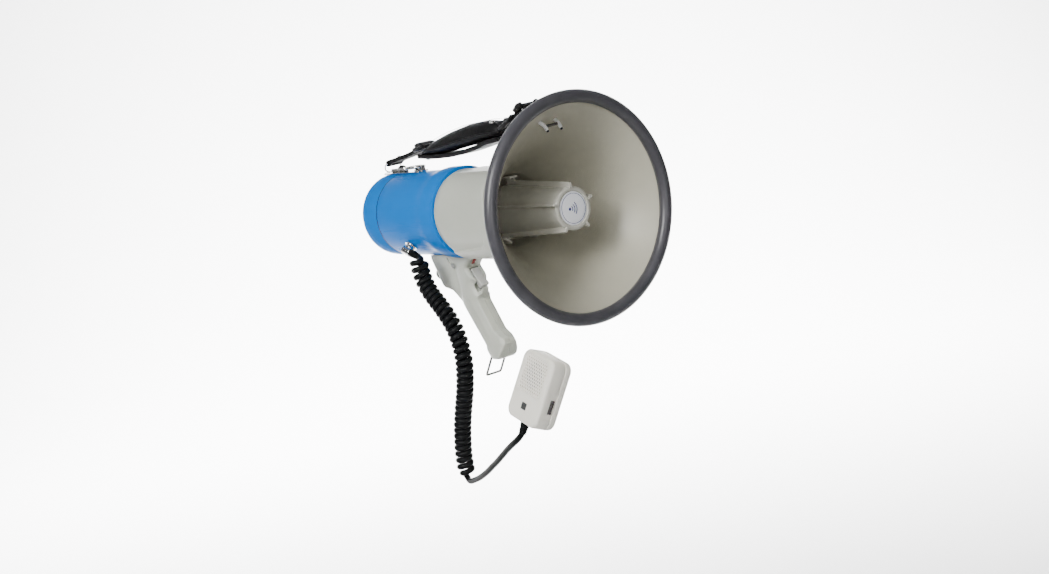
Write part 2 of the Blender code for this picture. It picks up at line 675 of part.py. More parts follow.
def make_handle_fittings(black, steel):
    screw = cross_rod("handle_screw", 1.3, 22.0, SCREW_SPOT, steel, centre_x=-0.5)
    boolean(screw, cross_rod("screw_head", 2.9, 1.8, SCREW_SPOT, centre_x=-11.4, cutter=True),
            "UNION")
    knob = knob_rod("volume_knob", 7.6, 2.0, 9.0, black)
    boolean(knob, knob_rod("knob_shaft", 2.9, -9.0, 5.0, cutter=True), "UNION")
    far_y, far_z = 18.5, -24.5
    leg = 9.6
    points = [(5.0, 0.0, 0.0), (leg, 0.0, 0.0), (leg, far_y, far_z), (-leg, far_y, far_z),
              (-leg, 0.0, 0.0), (-5.0, 0.0, 0.0)]
    wire("handle_bail", points, 0.8, steel, 2, location=(0.0, *BAIL_PIVOT))


def strip(name, route, width, thickness, material):
    """A flat band along a route of (y, z) in the middle plane."""
    points = [point.xz for point in smooth_route([(y, 0.0, z) for y, z in route], 9.0)]
    line = [tuple(point) for point in points]
    outline = shift(line, 0.5 * thickness) + shift(line, -0.5 * thickness)[::-1]
    return side_plate(name, outline, width, material=material)


def make_strap(black, webbing):
    strip("strap_webbing_rear", [(342.0, 61.0), (330.0, 61.0), (300.0, 62.5), (276.0, 66.5),
                                 (262.5, 69.0)], 20.0, 2.0, webbing)
    strip("strap_webbing_front", [(107.0, 83.0), (99.0, 86.0), (84.0, 93.0), (70.0, 101.5),
                                  (59.0, 106.0)], 20.0, 2.0, webbing)
    top = [(246.0, 72.4), (231.0, 74.2), (198.0, 81.0), (164.0, 87.2), (140.0, 89.0), (110.0, 87.4)]
    under = [(110.0, 77.5), (129.0, 76.6), (156.0, 70.6), (189.0, 65.8), (231.0, 64.6),
             (246.0, 66.4)]
    pad = side_plate("strap_pad", top + under, 33.0, material=webbing)
    add_bevel(pad, 2.5, 1, 60.0)
    block("strap_buckle_rear", (27.0, 12.0, 4.5), black, 1.2, 1, location=(0.0, 254.5, 70.5),
          turn=(-6.0, 0.0, 0.0))
    block("strap_buckle_front", (27.0, 16.0, 5.0), black, 1.2, 1, location=(0.0, 90.0, 83.5),
          turn=(-26.0, 0.0, 0.0))


def make_strap_fittings(chrome):
    plate = block("rear_strap_bracket", (18.0, 74.0, 6.0), chrome, location=(0.0, 304.5, 45.7))
    clearance = rod("bracket_clearance", SLEEVE_RADIUS + GAP, 140.0, steps=64,
                    location=(0.0, 300.0, 0.0), turn=(-90.0, 0.0, 0.0), cutter=True)
    ear = block("ring_ear", (4.8, 5.4, 8.0), location=(0.0, 270.2, 50.6), cutter=True)
    hole = rod("ring_hole", 1.9, 20.0, location=(0.0, 270.2, 51.6), turn=(0.0, 90.0, 0.0),
               cutter=True)
    boolean(plate, ear, "UNION")
    boolean(plate, clearance)
    boolean(plate, hole)
    oval = []
    for index in range(28):
        angle = 2.0 * math.pi * index / 28
        oval.append((10.5 * math.sin(angle), 281.2 - 11.0 * math.cos(angle), 51.6))
    wire("rear_strap_ring", oval, 1.2, chrome, 1, cyclic=True)
    leg = [(331.0, 49.8), (339.0, 49.4), (342.4, 49.6), (342.2, 53.6), (339.6, 57.6), (336.0, 58.4)]
    points = [(-7.0, y, z) for y, z in leg] + [(7.0, y, z) for y, z in leg[::-1]]
    wire("rear_strap_wire", points, 0.8, chrome, 1)


def make_front_fittings(chrome):
    bell_outside = [(0.0, 0.0)] + shift(bell_outer_line(), GAP) + [(0.0, 160.0)]
    flared = turned_on_barrel("bell_outside", bell_outside, steps=TURN_STEPS, cutter=True)
    base = block("front_strap_bracket", (24.0, 16.0, 14.0), chrome, location=(0.0, 33.0, 85.0))
    boolean(base, flared)
    leg = [(30.0, 93.8), (42.0, 96.0), (52.0, 100.0), (57.0, 102.6)]
    points = [(-9.0, y, z) for y, z in leg] + [(9.0, y, z) for y, z in leg[::-1]]
    wire("front_strap_loop", points, 1.1, chrome, 1)
    inside = [(bell_radius(y) - 0.6, y) for y in (12.0, 20.0, 28.0, 36.0, 44.0)]
    hub = [(0.0, 12.0)] + inside + [(0.0, 44.0)]
    core = turned_on_barrel("bell_core", hub, steps=TURN_STEPS, cutter=True)
    bar = block("bell_inner_clip", (20.0, 7.0, 5.0), chrome, location=(0.0, 28.5, 82.0),
                turn=(38.0, 0.0, 0.0))
    for side in (-1, 1):
        tab = block("clip_tab", (2.0, 5.0, 11.0), cutter=True, location=(side * 8.0, 25.8, 76.0),
                    turn=(-38.0, 0.0, 0.0))
        boolean(bar, tab, "UNION")
    boolean(bar, core, "INTERSECT")


def build():
    grey = make_material("body_plastic", PLASTIC_GREY, 0.42)
    bell_grey = make_material("bell_plastic", (0.44, 0.41, 0.35), 0.4)
    blue = make_material("blue_plastic", PLASTIC_BLUE, 0.25)
    bumper = make_material("bumper_rubber", RUBBER_GREY, 0.5)
    cream = make_material("mic_plastic", CREAM, 0.45)
    black = make_material("black_plastic", BLACK, 0.45)
    dark = make_material("dark_button", (0.05, 0.05, 0.05), 0.5)
    cord = make_material("cord_rubber", BLACK, 0.4)
    webbing = make_material("strap_webbing", (0.012, 0.012, 0.014), 0.85)
    chrome = make_material("chrome", (0.75, 0.75, 0.75), 0.15, 1.0)
    steel = make_material("steel", STEEL, 0.3, 1.0)
    silver = make_material("trigger_plastic", (0.42, 0.42, 0.40), 0.35)
    white = make_material("label_white", (0.85, 0.86, 0.87), 0.4)
    ferrite = make_material("ferrite", (0.06, 0.06, 0.06), 0.7)
    film = make_material("diaphragm_film", (0.6, 0.45, 0.2), 0.3)
    copper = make_material("copper_wire", (0.8, 0.35, 0.15), 0.3, 1.0)
    board = make_material("circuit_board", (0.03, 0.2, 0.07), 0.5)
    aluminium = make_material("aluminium", (0.7, 0.7, 0.72), 0.35, 1.0)
    can = make_material("capacitor_sleeve", (0.03, 0.03, 0.12), 0.4)
    core = make_material("transformer_core", (0.2, 0.18, 0.16), 0.5, 0.6)
    cell_skin = make_material("battery_sleeve", (0.35, 0.3, 0.1), 0.35)
    frame = make_material("carrier_plastic", (0.08, 0.08, 0.08), 0.5)
    make_bell(bell_grey, bumper)
    make_reflector(bell_grey, white)
    make_driver(bell_grey, steel, ferrite, film, copper)
    make_front_body(grey)
    make_barrel(blue)
    make_electronics(board, aluminium, can, core)
    make_batteries(cell_skin, frame)
    make_socket_and_plug(chrome, cord)
    make_cord(cord)
    make_microphone(cream, dark, cord, steel, board)
    make_handle_shells(grey)
    make_trigger(silver, steel, black)
    make_handle_fittings(black, steel)
    make_strap(black, webbing)
    make_strap_fittings(chrome)
    make_front_fittings(chrome)
    bpy.context.view_layer.update()


build()
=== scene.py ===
"""The looks of the handheld megaphone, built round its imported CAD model.

Shapes are written in the horn frame: millimetres, with the origin at the centre of the bell mouth,
+Y to the rear and +Z up.  The microphone's shapes are written in a frame of its own.
"""
import math

import bmesh
import bpy
import numpy as np
from mathutils import Matrix, Vector
from mathutils.geometry import delaunay_2d_cdt


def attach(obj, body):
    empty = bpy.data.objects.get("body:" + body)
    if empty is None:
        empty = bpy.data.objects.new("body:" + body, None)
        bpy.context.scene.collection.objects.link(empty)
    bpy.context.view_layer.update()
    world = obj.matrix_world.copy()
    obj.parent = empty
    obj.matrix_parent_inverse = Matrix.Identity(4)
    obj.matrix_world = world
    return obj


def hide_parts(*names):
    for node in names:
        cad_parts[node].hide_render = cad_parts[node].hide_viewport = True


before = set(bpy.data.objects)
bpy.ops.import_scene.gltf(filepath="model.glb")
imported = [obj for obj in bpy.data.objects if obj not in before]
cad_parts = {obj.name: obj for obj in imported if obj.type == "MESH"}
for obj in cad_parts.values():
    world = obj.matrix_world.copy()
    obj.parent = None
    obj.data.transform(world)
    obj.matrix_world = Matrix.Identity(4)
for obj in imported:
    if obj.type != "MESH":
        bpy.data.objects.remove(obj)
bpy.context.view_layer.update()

MM = 0.001
HORN = Matrix.Translation((0.0, -0.200, 0.115))
MIC_TURN = [math.radians(angle) for angle in (-23.23, 14.36, -95.51)]
MIC = HORN @ Matrix.Translation((-0.040, 0.0696, -0.1765))
for axis_name, angle in (("Z", MIC_TURN[2]), ("Y", MIC_TURN[1]), ("X", MIC_TURN[0])):
    MIC = MIC @ Matrix.Rotation(angle, 4, axis_name)
MIC_CASE_SCALE = 1.075
MIC = MIC @ Matrix.Scale(MIC_CASE_SCALE, 4)

# ---------------------------------------------------------------- materials


def node(tree, kind, **values):
    item = tree.nodes.new(kind)
    for key, value in values.items():
        if key in item.inputs:
            item.inputs[key].default_value = value
        else:
            setattr(item, key, value)
    return item


def new_material(name):
    material = bpy.data.materials.new(name)
    material.use_nodes = True
    tree = material.node_tree
    shader = tree.nodes["Principled BSDF"]
    coords = tree.nodes.new("ShaderNodeTexCoord")
    return material, tree, shader, coords.outputs["Object"]


def noise_of(tree, coords, scale, detail=3.0, roughness=0.55, stretch=None):
    """A noise value, even in all directions or stretched by a scale per axis."""
    if stretch:
        mapping = node(tree, "ShaderNodeMapping")
        mapping.inputs["Scale"].default_value = stretch
        tree.links.new(coords, mapping.inputs["Vector"])
        coords = mapping.outputs["Vector"]
    noise = node(tree, "ShaderNodeTexNoise", Scale=scale, Detail=detail, Roughness=roughness)
    tree.links.new(coords, noise.inputs["Vector"])
    return noise.outputs["Fac"]


def spread(tree, value, low, high, to_low, to_high):
    """Map a value from one range to another."""
    remap = node(tree, "ShaderNodeMapRange")
    for socket, number in zip(("From Min", "From Max", "To Min", "To Max"), (low, high, to_low, to_high)):
        remap.inputs[socket].default_value = number
    tree.links.new(value, remap.inputs["Value"])
    return remap.outputs["Result"]


def mix_colours(tree, factor, first, second):
    mix = tree.nodes.new("ShaderNodeMix")
    mix.data_type = "RGBA"
    if isinstance(factor, float):
        mix.inputs["Factor"].default_value = factor
    else:
        tree.links.new(factor, mix.inputs["Factor"])
    for socket, colour in ((mix.inputs[6], first), (mix.inputs[7], second)):
        if isinstance(colour, tuple):
            socket.default_value = (*colour, 1.0)
        else:
            tree.links.new(colour, socket)
    return mix.outputs[2]


def add_bump(tree, shader, height, strength, distance, below=None):
    bump = node(tree, "ShaderNodeBump", Strength=strength, Distance=distance)
    tree.links.new(height, bump.inputs["Height"])
    if below:
        tree.links.new(below, bump.inputs["Normal"])
    tree.links.new(bump.outputs["Normal"], shader.inputs["Normal"])
    return bump.outputs["Normal"]


def rough_between(tree, shader, value, smoothest, roughest):
    """Let a noise value choose the roughness between two limits."""
    tree.links.new(spread(tree, value, 0.3, 0.7, smoothest, roughest), shader.inputs["Roughness"])


def shade(colour, factor):
    return tuple(min(1.0, value * factor) for value in colour)


def moulded_plastic(name, colour, roughness=0.4, mottle=0.06, grain=0.12, grain_size=1500.0,
                    wear=0.0, marks=0.06):
    """Injection-moulded plastic: faint mottling, fine grain, hairline marks, paler worn edges."""
    material, tree, shader, coords = new_material(name)
    cloudy = noise_of(tree, coords, 22.0, 4.0)
    tint = mix_colours(tree, spread(tree, cloudy, 0.3, 0.7, 0.0, 1.0), shade(colour, 1.0 - mottle),
                       shade(colour, 1.0 + mottle))
    if wear:
        geometry = tree.nodes.new("ShaderNodeNewGeometry")
        edge = spread(tree, geometry.outputs["Pointiness"], 0.52, 0.60, 0.0, wear)
        tint = mix_colours(tree, edge, tint, shade(colour, 1.35))
    tree.links.new(tint, shader.inputs["Base Color"])
    hairline = noise_of(tree, coords, 60.0, 5.0, 0.7, (1.0, 0.12, 1.0))
    rough_between(tree, shader, hairline, roughness - marks, roughness + marks)
    fine = noise_of(tree, coords, grain_size, 2.0)
    waves = noise_of(tree, coords, 9.0, 1.0)
    normal = add_bump(tree, shader, waves, 0.06, 0.0012)
    add_bump(tree, shader, fine, grain, 0.0002, normal)
    shader.inputs["IOR"].default_value = 1.48
    return material


def smooth_rubber(name, colour, roughness=0.45):
    """Rubber or vinyl with a fine skin, dusty patches and a soft gloss."""
    material, tree, shader, coords = new_material(name)
    cloudy = noise_of(tree, coords, 35.0, 5.0)
    dusty = spread(tree, cloudy, 0.45, 0.75, 0.0, 0.6)
    tree.links.new(mix_colours(tree, dusty, colour, shade(colour, 1.35)), shader.inputs["Base Color"])
    rough_between(tree, shader, cloudy, roughness - 0.06, roughness + 0.1)
    add_bump(tree, shader, noise_of(tree, coords, 900.0, 3.0), 0.18, 0.0003)
    return material


def polished_metal(name, colour, roughness=0.12, tarnish=0.12, metal=1.0):
    """Plated or turned metal with fine marks along its brushing and a little tarnish."""
    material, tree, shader, coords = new_material(name)
    cloudy = noise_of(tree, coords, 90.0, 4.0)
    tree.links.new(mix_colours(tree, spread(tree, cloudy, 0.5, 0.8, 0.0, 1.0), colour,
                               shade(colour, 1.0 - tarnish)), shader.inputs["Base Color"])
    shader.inputs["Metallic"].default_value = metal
    marks = noise_of(tree, coords, 400.0, 4.0, 0.6, (1.0, 0.08, 1.0))
    rough_between(tree, shader, marks, roughness - 0.05, roughness + 0.1)
    add_bump(tree, shader, marks, 0.05, 0.0003)
    return material


def woven_webbing(name, colour, pitch=0.0011):
    """Nylon webbing: ribs across the band, threads along it, slight fading, and painted shade in the hollows
    of the weave.
    """
    material, tree, shader, coords = new_material(name)
    waves = []
    for direction, size in (("X", pitch), ("Y", pitch * 1.3)):
        wave = node(tree, "ShaderNodeTexWave", Scale=1.0 / (size * 20.0), Distortion=0.25)
        wave.bands_direction = direction
        wave.wave_profile = "SIN"
        tree.links.new(coords, wave.inputs["Vector"])
        waves.append(wave.outputs["Fac"])
    weave = node(tree, "ShaderNodeMath")
    weave.operation = "MULTIPLY"
    tree.links.new(waves[0], weave.inputs[0])
    tree.links.new(waves[1], weave.inputs[1])
    faded = noise_of(tree, coords, 60.0, 4.0)
    base = mix_colours(tree, spread(tree, faded, 0.4, 0.8, 0.0, 0.7), colour, shade(colour, 1.9))
    # the colour is darkened where the weave dips: painted shade in the hollows between the threads
    threads = mix_colours(tree, spread(tree, weave.outputs[0], 0.0, 0.6, 0.5, 0.0), base, shade(colour, 0.35))
    tree.links.new(threads, shader.inputs["Base Color"])
    shader.inputs["Roughness"].default_value = 0.72
    shader.inputs["Sheen Weight"].default_value = 0.25
    shader.inputs["Sheen Roughness"].default_value = 0.5
    fuzz = add_bump(tree, shader, noise_of(tree, coords, 2500.0, 2.0), 0.25, 0.0003)
    add_bump(tree, shader, weave.outputs[0], 0.55, 0.0006, fuzz)
    return material


def pebbled_vinyl(name, colour):
    """Soft vinyl or foam-backed leathercloth with a small pebbled grain."""
    material, tree, shader, coords = new_material(name)
    cells = node(tree, "ShaderNodeTexVoronoi", Scale=900.0)
    cells.feature = "SMOOTH_F1"
    tree.links.new(coords, cells.inputs["Vector"])
    cloudy = noise_of(tree, coords, 45.0, 4.0)
    tree.links.new(mix_colours(tree, spread(tree, cloudy, 0.35, 0.75, 0.0, 1.0), colour, shade(colour, 1.7)),
                   shader.inputs["Base Color"])
    rough_between(tree, shader, cloudy, 0.42, 0.6)
    creases = add_bump(tree, shader, noise_of(tree, coords, 140.0, 4.0), 0.2, 0.0012)
    add_bump(tree, shader, cells.outputs["Distance"], 0.3, 0.0005, creases)
    return material


GREY = moulded_plastic("grey_plastic", (0.470, 0.485, 0.425), 0.36, 0.03, 0.10, wear=0.25)
BELL = moulded_plastic("bell_plastic_look", (0.450, 0.432, 0.345), 0.38, 0.04, 0.10, wear=0.2)
CAP_GREY = moulded_plastic("reflector_plastic", (0.50, 0.49, 0.425), 0.4, 0.04, 0.10, wear=0.3)
BLUE = moulded_plastic("blue_gloss", (0.004, 0.160, 0.555), 0.28, 0.03, 0.03, marks=0.012)
BUMPER = smooth_rubber("bumper_vinyl", (0.060, 0.059, 0.067), 0.34)
CREAM = moulded_plastic("mic_cream", (0.93, 0.90, 0.80), 0.45, 0.02, 0.3, 2200.0, wear=0.15)
CORD = smooth_rubber("cord_vinyl", (0.007, 0.0075, 0.008), 0.36)
DARK = moulded_plastic("dark_plastic", (0.011, 0.011, 0.012), 0.42, 0.1, 0.25)
DARK_BUTTON = moulded_plastic("button_plastic", (0.045, 0.040, 0.038), 0.5, 0.1, 0.3)
SILVER = moulded_plastic("trigger_grey", (0.42, 0.42, 0.395), 0.3, 0.05, 0.12, wear=0.3)
WHITE = moulded_plastic("label_white_look", (0.93, 0.94, 0.97), 0.34, 0.01, 0.05)
RED = moulded_plastic("lock_red", (0.26, 0.03, 0.02), 0.35, 0.08, 0.15)
PRINT = moulded_plastic("label_print", (0.03, 0.04, 0.16), 0.4, 0.05, 0.05)
# a darker copy of the microphone's cream for the plate behind the grille: painted shade
CREAM_PAINTED_SHADE = moulded_plastic("mic_cream_painted_shade", (0.42, 0.36, 0.25), 0.6, 0.05, 0.3)
CLOTH = woven_webbing("grille_cloth_look", (0.13, 0.095, 0.055), 0.0006)
BADGE = moulded_plastic("badge_plastic", (0.05, 0.05, 0.048), 0.5, 0.1, 0.2)
THREAD = smooth_rubber("sewing_thread", (0.022, 0.022, 0.023), 0.6)
BOARD = moulded_plastic("circuit_board_look", (0.03, 0.17, 0.06), 0.4, 0.15, 0.3)
CARRIER = moulded_plastic("carrier_look", (0.035, 0.035, 0.037), 0.5, 0.1, 0.3)
FILM = smooth_rubber("diaphragm_look", (0.34, 0.20, 0.10), 0.35)
FERRITE = moulded_plastic("ferrite_look", (0.05, 0.05, 0.052), 0.7, 0.15, 0.5, 700.0)
SLEEVE = moulded_plastic("capacitor_look", (0.03, 0.05, 0.19), 0.35, 0.1, 0.1)
TRANSFORMER = moulded_plastic("transformer_look", (0.26, 0.20, 0.08), 0.5, 0.15, 0.3)
CELL = moulded_plastic("battery_look", (0.10, 0.11, 0.12), 0.3, 0.1, 0.1)
COPPER = polished_metal("copper_look", (0.72, 0.33, 0.16), 0.3)
ALUMINIUM = polished_metal("aluminium_look", (0.70, 0.70, 0.71), 0.32)
STEEL_DARK = polished_metal("dull_steel", (0.17, 0.16, 0.145), 0.4, tarnish=0.3)
CHROME = polished_metal("chrome_plate", (0.78, 0.78, 0.77), 0.10)
# chrome prongs made near white and only partly metallic so they stay bright in the bell's shade: painted
# highlight
WIRE_PAINTED_HIGHLIGHT = polished_metal("wire_painted_highlight", (0.92, 0.91, 0.88), 0.3, metal=0.35)
STEEL = polished_metal("bright_steel", (0.58, 0.58, 0.57), 0.25, tarnish=0.25)
WEBBING = woven_webbing("nylon_webbing", (0.007, 0.007, 0.0075))
VINYL = pebbled_vinyl("strap_vinyl", (0.006, 0.006, 0.0065))


REFLECTION = {BLUE: 1.04, GREY: 1.36, WEBBING: 1.25, VINYL: 1.25, CORD: 1.18, DARK: 1.36, THREAD: 1.3}
for glossy, index_of_refraction in REFLECTION.items():
    skin = glossy.node_tree.nodes["Principled BSDF"]
    skin.inputs["IOR"].default_value = index_of_refraction
    skin.inputs["Sheen Weight"].default_value = 0.0

# ---------------------------------------------------------------- mesh helpers


def in_world(point, place=HORN):
    return place @ (Vector(point) * MM)


def link(item):
    bpy.context.scene.collection.objects.link(item)
    return item


def mesh_object(name, verts, faces, place=HORN):
    """A closed mesh from millimetre points in a frame, with its faces turned outwards."""
    mesh = bpy.data.meshes.new(name)
    mesh.from_pydata([in_world(point, place) for point in verts], [], faces)
    bm = bmesh.new()
    bm.from_mesh(mesh)
    bmesh.ops.recalc_face_normals(bm, faces=bm.faces)
    bm.to_mesh(mesh)
    bm.free()
    return link(bpy.data.objects.new(name, mesh))


def dress(item, material, body="horn", slot=None, replaces="", angle=40.0):
    """Material, shading, body and the CAD nodes that a piece stands for; the slot argument is not used."""
    item.data.materials.clear()
    item.data.materials.append(material)
    if item.type == "MESH":
        item.data.shade_smooth()
        item.data.set_sharp_from_angle(angle=math.radians(angle))
    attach(item, body)
    if replaces:
        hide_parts(*replaces.split())
    return item


def piece(name, mesh, material, place=HORN, **looks):
    """A dressed piece made from (points, faces)."""
    return dress(mesh_object(name, *mesh, place=place), material, **looks)


def settle(item, helpers=()):
    """Make a piece's modifiers part of its mesh, and remove the shapes it was cut with."""
    bpy.context.view_layer.update()
    evaluated = item.evaluated_get(bpy.context.evaluated_depsgraph_get())
    mesh = bpy.data.meshes.new_from_object(evaluated)
    mesh.name = item.name
    item.modifiers.clear()
    item.data = mesh
    for helper in helpers:
        bpy.data.objects.remove(helper, do_unlink=True)
    return item


def cut(item, *tools):
    for tool in tools:
        modifier = item.modifiers.new(tool.name, "BOOLEAN")
        modifier.operation = "DIFFERENCE"
        modifier.object = tool
        modifier.solver = "EXACT"


def round_edges(item, width, segments):
    bevel = item.modifiers.new("round", "BEVEL")
    bevel.width = width * MM
    bevel.segments = segments
    bevel.limit_method = "ANGLE"
    bevel.angle_limit = math.radians(30.0)


def join_meshes(*meshes):
    """Several (points, faces) pairs as one."""
    points, faces = [], []
    for some_points, some_faces in meshes:
        start = len(points)
        points += [tuple(point) for point in some_points]
        faces += [tuple(start + index for index in face) for face in some_faces]
    return points, faces


def raised(mesh, rise):
    """The same (points, faces) higher up."""
    return [(x, y, z + rise) for x, y, z in mesh[0]], mesh[1]


def circle(steps):
    """Angles evenly round a circle."""
    return [2.0 * math.pi * step / steps for step in range(steps)]


def lathe(profile, steps=96, centre=(0.0, 0.0, 0.0)):
    """A closed outline of (radius, y) turned about the barrel's axis."""
    points, faces, rows = [], [], []
    for radius, y in profile:
        if radius < 1e-6:
            rows.append([len(points)])
            points.append((centre[0], centre[1] + y, centre[2]))
            continue
        rows.append(list(range(len(points), len(points) + steps)))
        points += [(centre[0] + radius * math.sin(angle), centre[1] + y, centre[2] + radius * math.cos(angle))
                   for angle in circle(steps)]
    for near, far in zip(rows, rows[1:] + rows[:1]):
        if len(near) == 1 and len(far) == 1:
            continue
        for step in range(steps):
            following = (step + 1) % steps
            if len(near) == 1:
                faces.append((near[0], far[following], far[step]))
            elif len(far) == 1:
                faces.append((near[step], near[following], far[0]))
            else:
                faces.append((near[step], near[following], far[following], far[step]))
    return points, faces


def loft(rings, closed=False):
    """Rings of equally many points joined in order, with flat ends or closed on themselves."""
    count = len(rings[0])
    faces = [] if closed else [tuple(range(count))[::-1]]
    for row in range(len(rings) if closed else len(rings) - 1):
        base, ahead = row * count, (row + 1) % len(rings) * count
        for step in range(count):
            following = (step + 1) % count
            faces.append((base + step, base + following, ahead + following, ahead + step))
    if not closed:
        faces.append(tuple(range((len(rings) - 1) * count, len(rings) * count)))
    return [tuple(point) for ring in rings for point in ring], faces


def frames_along(points, start_side=None):
    """Directions along a line of points, and two sideways directions that turn as little as may be."""
    points = [Vector(point) for point in points]
    ways = []
    for index in range(len(points)):
        before, after = points[max(index - 1, 0)], points[min(index + 1, len(points) - 1)]
        ways.append((after - before).normalized())
    side = Vector(start_side) if start_side else ways[0].orthogonal()
    frames = []
    for way in ways:
        side = (side - way * side.dot(way)).normalized()
        frames.append((way, side, way.cross(side)))
    return points, frames


def sweep(points, radius, sides=12, closed=False, start_side=None):
    """A round wire along points; the radius may change from point to point."""
    points, frames = frames_along(points, start_side)
    rings = []
    for index, (point, (_, side, other)) in enumerate(zip(points, frames)):
        r = float(radius[index] if isinstance(radius, (list, tuple)) else radius)
        rings.append([point + r * (math.cos(a) * side + math.sin(a) * other) for a in circle(sides)])
    return loft(rings, closed)


def path_clear(path, least=0.05):
    """A path without points that lie on one another."""
    kept = [path[0]]
    for point in path[1:]:
        if (point - kept[-1]).length > least:
            kept.append(point)
    return kept


def smooth_route(route, spacing):
    """Points about a spacing apart on the smooth curve through a route."""
    knots = [Vector(point) for point in route]
    padded = [2.0 * knots[0] - knots[1]] + knots + [2.0 * knots[-1] - knots[-2]]
    points = []
    for p0, p1, p2, p3 in zip(padded, padded[1:], padded[2:], padded[3:]):
        count = max(1, round((p2 - p1).length / spacing))
        for t in (index / count for index in range(count)):
            points.append(0.5 * (2.0 * p1 + (p2 - p0) * t + (2.0 * p0 - 5.0 * p1 + 4.0 * p2 - p3) * t ** 2 +
                                 (3.0 * p1 - p0 - 3.0 * p2 + p3) * t ** 3))
    return points + [knots[-1]]


def bend(here, back, ahead, reach, steps):
    """Points on a smooth bend round a corner, from its way back to its way ahead."""
    start, end = here + back.normalized() * reach, here + ahead.normalized() * reach
    return [(1 - t) ** 2 * start + 2 * t * (1 - t) * here + t ** 2 * end
            for t in (step / steps for step in range(steps + 1))]


def fillet(corners, steps=5):
    """Round each (a, b, radius) corner of a closed outline."""
    outline = []
    for index, (a, b, radius) in enumerate(corners):
        here = Vector((a, b))
        back = Vector(corners[index - 1][:2]) - here
        ahead = Vector(corners[(index + 1) % len(corners)][:2]) - here
        if radius <= 0.0:
            outline.append(tuple(here))
            continue
        reach = min(radius / math.tan(0.5 * back.angle(ahead)), 0.48 * back.length, 0.48 * ahead.length)
        outline += [tuple(point) for point in bend(here, back, ahead, reach, steps)]
    return outline


def rounded_path(corners, radius, steps=6):
    """A 3-D line with its inner corners rounded."""
    corners = [Vector(corner) for corner in corners]
    path = [corners[0]]
    for before, here, after in zip(corners, corners[1:], corners[2:]):
        back, ahead = before - here, after - here
        path += bend(here, back, ahead, min(radius, 0.45 * back.length, 0.45 * ahead.length), steps)
    return path + [corners[-1]]


def box_mesh(size, centre):
    points = [tuple(Vector((x * size[0], y * size[1], z * size[2])) + Vector(centre)) for x in (-0.5, 0.5) for
              y in (-0.5, 0.5) for z in (-0.5, 0.5)]
    faces = [(0, 1, 3, 2), (4, 6, 7, 5), (0, 4, 5, 1), (2, 3, 7, 6), (0, 2, 6, 4), (1, 5, 7, 3)]
    return points, faces


def rod_mesh(start, end, radius):
    return sweep([start, end], radius, 32)


def shift(points, distance):
    """A line of (r, y) points moved sideways by a distance."""
    moved = []
    last = len(points) - 1
    for index, (r, y) in enumerate(points):
        before, after = points[max(index - 1, 0)], points[min(index + 1, last)]
        dr, dy = after[0] - before[0], after[1] - before[1]
        length = math.hypot(dr, dy)
        moved.append((r + distance * dy / length, y - distance * dr / length))
    return moved


# ---------------------------------------------------------------- camera, floor and light


CAMERA_AT = (-953.7, -1209.9, 174.3)
CAMERA_RIGHT, CAMERA_UP = Vector((0.7839, -0.5958, -0.1744)), Vector((0.2319, 0.0205, 0.9725))
FLOOR_Z, SKY_STRENGTH, BACKDROP_POWER = -0.62, 0.17, 250.0


def make_camera():
    """A three-quarter view from the front left: 36 degrees to the left of the bell, a little above it."""
    camera = bpy.data.cameras.new("camera")
    camera.lens = 54.91
    camera.sensor_width = 36.0
    camera.clip_end = 50.0
    item = link(bpy.data.objects.new("camera", camera))
    back = CAMERA_RIGHT.cross(CAMERA_UP).normalized()
    up = back.cross(CAMERA_RIGHT).normalized()
    turn = Matrix((CAMERA_RIGHT.normalized(), up, back)).transposed().to_4x4()
    item.matrix_world = Matrix.Translation(in_world(CAMERA_AT)) @ turn
    bpy.context.scene.camera = item


def make_floor():
    """One sheet that is the floor and curves up behind to be the backdrop."""
    near, far, curve, height = -6.0, 2.4, 1.2, 6.0
    rows = [(near, FLOOR_Z), (far, FLOOR_Z)]
    for step in range(1, 13):
        angle = 0.5 * math.pi * step / 12
        rows.append((far + curve * math.sin(angle), FLOOR_Z + curve * (1.0 - math.cos(angle))))
    rows.append((far + curve, FLOOR_Z + height))
    toward = Matrix.Rotation(math.radians(-35.65), 3, "Z")
    points = [tuple(toward @ Vector((x, y, z))) for y, z in rows for x in (-8.0, 8.0)]
    faces = [(2 * row, 2 * row + 1, 2 * row + 3, 2 * row + 2) for row in range(len(rows) - 1)]
    mesh = bpy.data.meshes.new("floor")
    mesh.from_pydata(points, [], faces)
    mesh.shade_smooth()
    floor = link(bpy.data.objects.new("floor", mesh))
    material, tree, shader, coords = new_material("floor_paper")
    soft = noise_of(tree, coords, 3.0, 3.0)
    tree.links.new(mix_colours(tree, soft, (0.90, 0.90, 0.90), (0.93, 0.93, 0.93)),
                   shader.inputs["Base Color"])
    shader.inputs["Roughness"].default_value = 0.9
    mesh.materials.append(material)


def area_light(name, place, target, size, power, spread):
    lamp = bpy.data.lights.new(name, "AREA")
    lamp.spread = math.radians(spread)
    lamp.shape = "RECTANGLE"
    lamp.size, lamp.size_y = size
    lamp.energy = power
    item = link(bpy.data.objects.new(name, lamp))
    way = Vector(target) - Vector(place)
    item.matrix_world = Matrix.Translation(place) @ way.to_track_quat("-Z", "Y").to_matrix().to_4x4()


